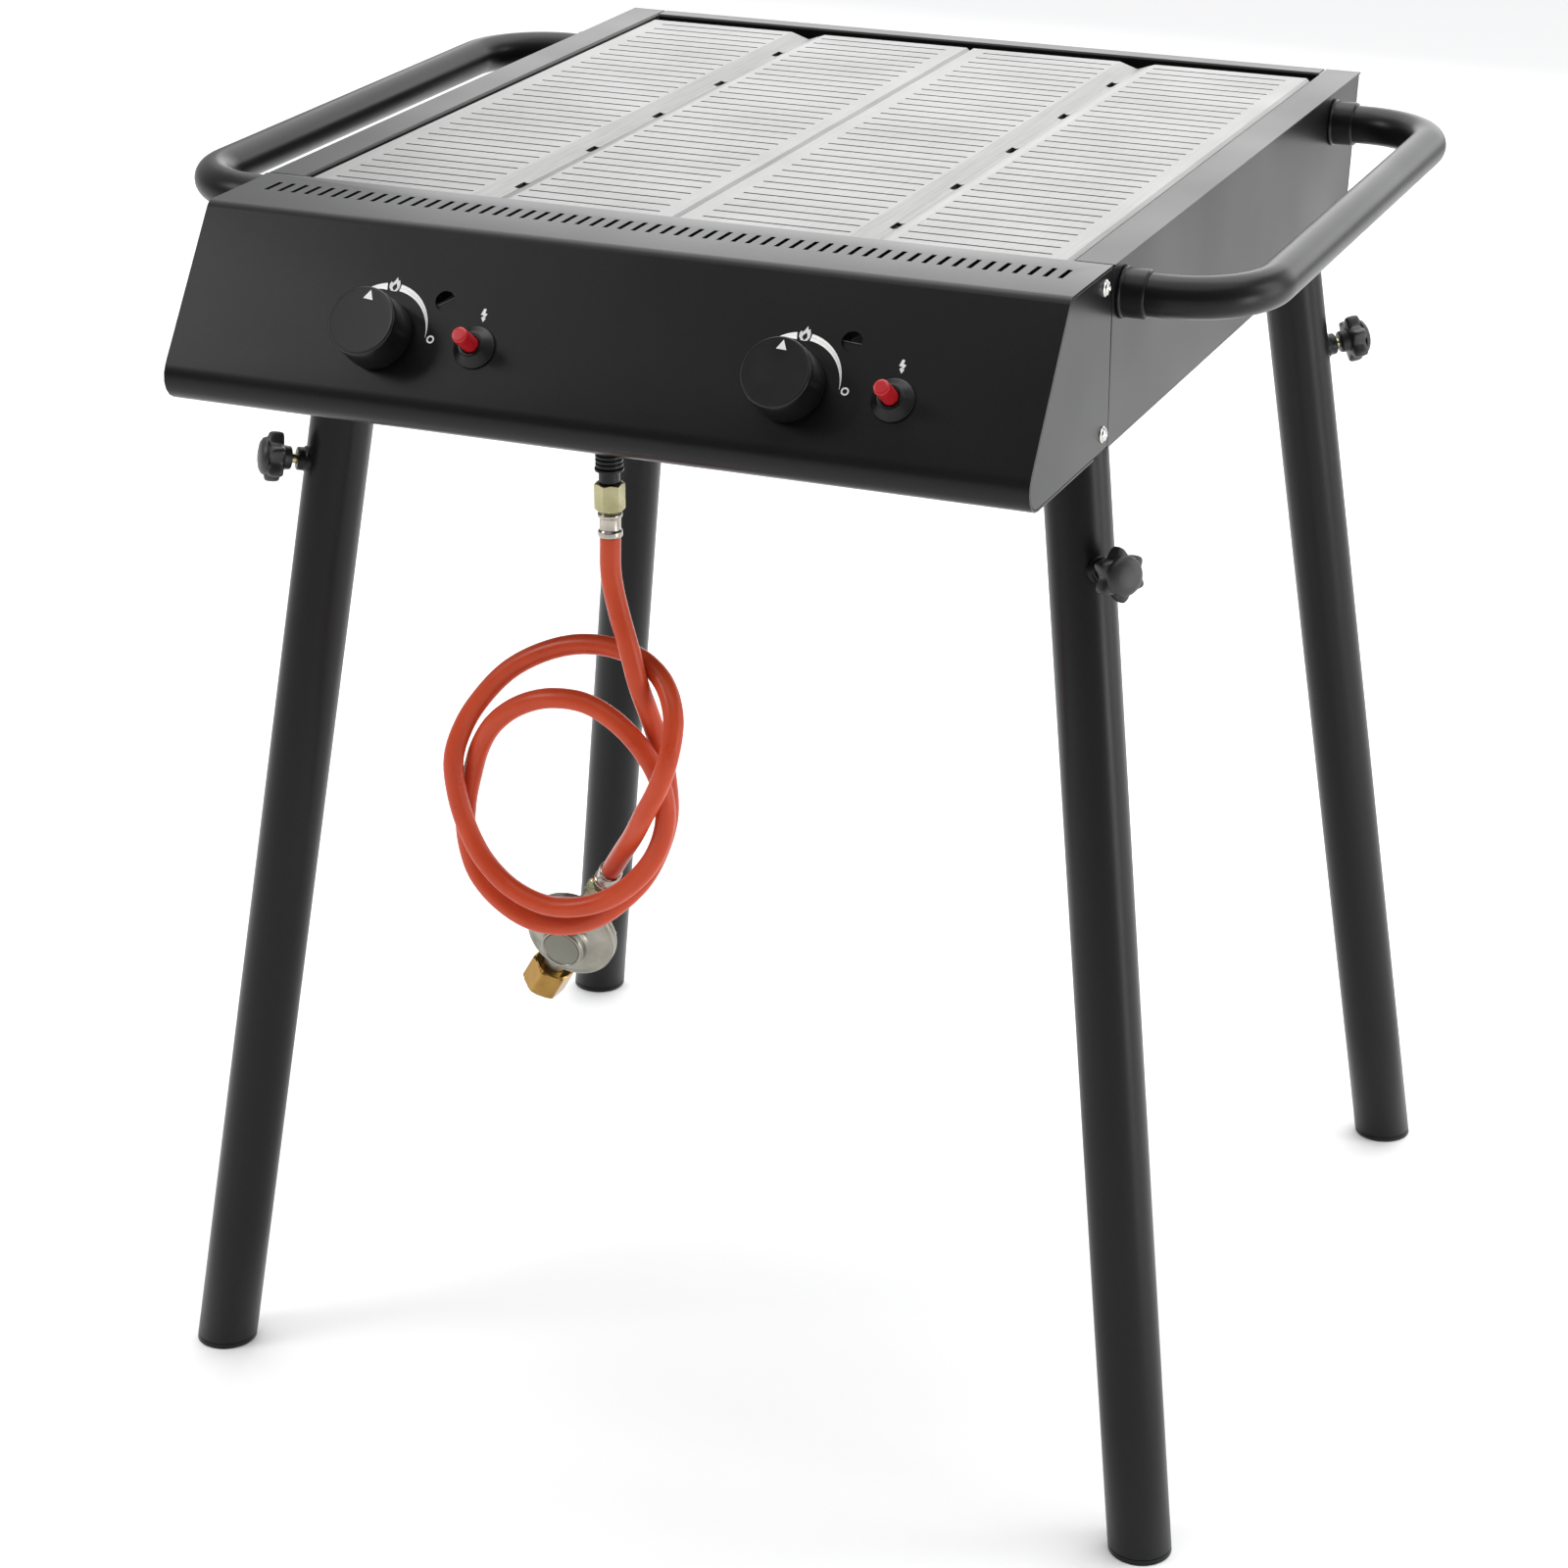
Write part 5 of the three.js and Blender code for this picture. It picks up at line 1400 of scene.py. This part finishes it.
@dataclass
class Leg:
    """One splayed tube leg with its clamp: a boss, a stud and a six-lobed star knob."""

    shop: Workshop
    end: End
    side: Side
    half_width: float = 325.0
    length_y: float = 640.0
    inset_x: float = 39.0
    inset_front: float = 42.0
    inset_back: float = 50.0
    top_level: float = 849.4
    spread_x: float = 111.0
    spread_y: float = 88.0
    radius: float = 24.15
    clamp_drop: float = 100.0
    boss_radius: float = 9.0
    boss_height: float = 7.0
    knob_from: float = 35.5
    hub_height: float = 7.0
    star_radius: float = 20.0
    star_valley: float = 15.6
    star_thick: float = 12.0
    dome_radius: float = 14.5

    @property
    def word(self) -> str:
        """The leg's name, such as front_left."""
        return f"{self.end.word}_{self.side.word}"

    @property
    def basis(self) -> Basis:
        """The leg's basis: z runs up from the top centre, and x points out of its splay."""
        x = self.side.value * (self.half_width - self.inset_x)
        y = self.inset_front if self.end is End.FRONT else self.length_y - self.inset_back
        splay = np.array([self.side.value * self.spread_x, self.end.value * self.spread_y, 0.0])
        top = np.array([x, y, self.top_level])
        foot = np.array([x, y, 0]) + splay
        return Basis.at(top, top - foot, splay)

    def level_ring(self, radius: float, level: float, sides: int = 64) -> Array:
        """A ring round the leg that is cut level.

        The point at angle a is the origin + r cos a x + r sin a y + s z, and s is chosen so that
        its height is the level asked for.
        """
        basis = self.basis
        angle = np.linspace(0, TAU, sides, endpoint=False)
        local = np.stack([radius * np.cos(angle), radius * np.sin(angle), 0 * angle], axis=1)
        points = basis.place(local)
        along = (level - points[:, 2]) / basis.z[2]
        return points + along[:, None] * basis.z

    def build(self) -> None:
        """Makes the tube, its foot cap, the clamp's boss and the star knob."""
        word, basis = self.word, self.basis
        top, r = self.top_level, self.radius
        rows = [self.level_ring(r - 2, 12), self.level_ring(r - 2, top - 0.2)]
        rows += [self.level_ring(r - 0.7, top), self.level_ring(r, top - 0.7)]
        rows += [self.level_ring(r, level) for level in np.linspace(top - 20, 5, 9)]
        rows += [self.level_ring(r - 0.4, 4.5), self.level_ring(r - 2.2, 4.5)]
        tube = Surface().add(np.stack(rows)[::-1])
        boss = Basis.at(basis.place(np.array([0, 0, -self.clamp_drop])), basis.x, basis.z)
        b, h = self.boss_radius, self.boss_height
        tube.ring(
            [[4.3, r - 2.5], [b + 1.6, r - 2.5], [b + 1.2, r + 0.4, 1.2], [b, r + 1.6, 1.2],
             [b, r + h - 0.8, 0.8],
             [b - 0.8, r + h, 0.5], [4.3, r + h]],
            boss, 40,
        )
        self.shop.piece(f"{word}_tube", tube, POWDER, f"{word}_leg", [f"{word}_leg"], crease=50)
        cap_rows = [self.level_ring(radius, level) for radius, level in
                    ((r - 3, 0), (r - 1.2, 0), (r - 0.1, 0.9), (r - 0.1, 4.3), (r - 3, 4.4))]
        cap = Surface().add(np.stack(cap_rows))
        self.shop.piece(f"{word}_foot_cap", cap, NYLON, f"{word}_leg", crease=50)
        self.shop.sheet_copy(f"{word}_stub", ZINC, crease=30)
        self.shop.sheet_copy(f"{word}_clamp_stud", PLATING, f"{word}_stud", crease=40)
        self.shop.piece(
            f"{word}_clamp_knob", self.star(boss), KNOB_NYLON, f"{word}_star_knob",
            [f"{word}_star_knob"], crease=52,
        )

    def star(self, basis: Basis) -> Surface:
        """The star knob: rings of six lobes that fade into the round hub below and the dome above.

        The ring at height z has radius R - w V (1 - cos 6a) / 2, where V is the depth of the
        valleys and w, from 0 to 1, says how lobed the ring is.
        """
        z0, z1 = self.knob_from, self.knob_from + self.hub_height
        z2 = z1 + self.star_thick
        top, dome = self.star_radius, self.dome_radius
        rings = [
            (0.0, z0, 0), (8.2, z0, 0), (9.0, z0 + 0.8, 0), (9.4, z1 - 1.5, 0), (11.0, z1 - 0.2, 0.1),
            (top - 3.0, z1, 0.9), (top - 1.2, z1 + 0.5, 1), (top - 0.3, z1 + 2.0, 1), (top, z1 + 4.5, 1),
            (top, z2 - 4.5, 1), (top - 0.3, z2 - 2.2, 1), (top - 1.3, z2 - 0.7, 1), (top - 3.2, z2, 0.8),
            (dome + 0.5, z2 + 0.2, 0.15), (dome, z2 + 1.4, 0), (dome - 0.9, z2 + 3.0, 0),
            (dome - 3.6, z2 + 4.7, 0), (dome - 8, z2 + 5.7, 0), (0.0, z2 + 6.0, 0),
        ]
        radius, height, lobed = (np.array(column, float)[:, None] for column in zip(*rings))
        angle = np.linspace(0, TAU, 144, endpoint=False)
        depth = self.star_radius - self.star_valley + 0.9
        shape = (1 - np.cos(6 * angle)) / 2
        shape = shape**0.8
        r = radius - lobed * depth * shape
        grid = np.stack([r * np.cos(angle), r * np.sin(angle), height + 0 * angle], axis=-1)
        return Surface().add(basis.place(grid))


@dataclass
class Handle:
    """The bent tube on one side, with its mounting collars."""

    shop: Workshop
    side: Side
    half_width: float = 325.0
    level: float = 955.0
    reach: float = 90.0
    near: float = 24.0
    far: float = 564.0
    bend: float = 62.0
    radius: float = 15.0
    collar_radius: float = 17.2
    collar_length: float = 19.0

    def path(self) -> Array:
        """The tube's middle: out from the panel, a quarter circle, along, a quarter circle and back in.

        The first quarter circle is centre + bend (cos a, sin a) from -90 to 0 degrees, and the
        second is the first one mirrored end for end.
        """
        out = self.half_width + self.reach
        quarter = np.linspace(-math.pi / 2, 0, 19)
        corner = np.array([out - self.bend, self.near + self.bend])
        arc = self.bend * np.stack([np.cos(quarter), np.sin(quarter)], 1)
        first = corner + arc
        second = np.stack([first[::-1][:, 0], self.near + self.far - first[::-1][:, 1]], 1)
        start = self.half_width + 0.3
        inward = np.linspace(start, first[0][0], 4)[:-1]
        leg = np.stack([inward, np.full(3, self.near)], 1)
        run = np.linspace(first[-1][1], second[0][1], 8)[1:-1]
        straight = np.stack([np.full(6, out), run], 1)
        back = np.stack([inward[::-1], np.full(3, self.far)], 1)
        flat = np.concatenate([leg, first, straight, second, back])
        return np.stack([flat[:, 0] * self.side.value, flat[:, 1], np.full(len(flat), self.level)], 1)

    def build(self) -> None:
        """Makes the tube and its two collars."""
        word = self.side.word
        tube = Surface().add(tube_grid(self.path(), self.radius, 40))
        self.shop.piece(f"{word}_handle_tube", tube, POWDER, GRILL, [f"{word}_handle"], crease=50)
        collars = Surface()
        r, n, t = self.collar_radius, self.collar_length, self.radius
        for y in (self.near, self.far):
            basis = Basis.at(
                (self.side.value * (self.half_width + 0.3), y, self.level), (self.side.value, 0, 0), (0, 0, 1)
            )
            collars.ring(
                [[t - 0.5, 0], [r + 1.2, 0, 0.4], [r + 1.2, 1.6, 0.6], [r, 2.4, 0.6], [r, n - 1.2, 1],
                 [r - 1.2, n, 0.6], [t - 0.5, n]],
                basis, 48,
            )
        self.shop.piece(f"{word}_handle_collars", collars, POWDER, GRILL, crease=40)


# --------------------------------------------------------------------------------------------------
# The whole
# --------------------------------------------------------------------------------------------------


def corners(box: tuple[Vector, Vector]) -> list[list[float]]:
    """The two corners of a box as plain lists of metres."""
    return [[float(c) for c in corner] for corner in box]


def main() -> None:
    """Loads the frame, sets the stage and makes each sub-assembly."""
    logging.basicConfig(level=logging.INFO, format="%(name)s: %(message)s")
    for left_over in list(bpy.data.objects):
        bpy.data.objects.remove(left_over)
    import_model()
    studio = Studio()
    studio.camera()
    shop = Workshop(Datum(front=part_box("left_rail")[0].y))
    hose = HoseSet(shop)
    hose.build_hose()
    hose.build_inlet()
    Cabinet(shop).build()
    CookingTop(shop).build()
    Controls(shop).build()
    for end in End:
        for side in Side:
            Leg(shop, end, side).build()
    for side in Side:
        Handle(shop, side).build()
    studio.floor()
    studio.light()


if __name__ == "__main__":
    main()
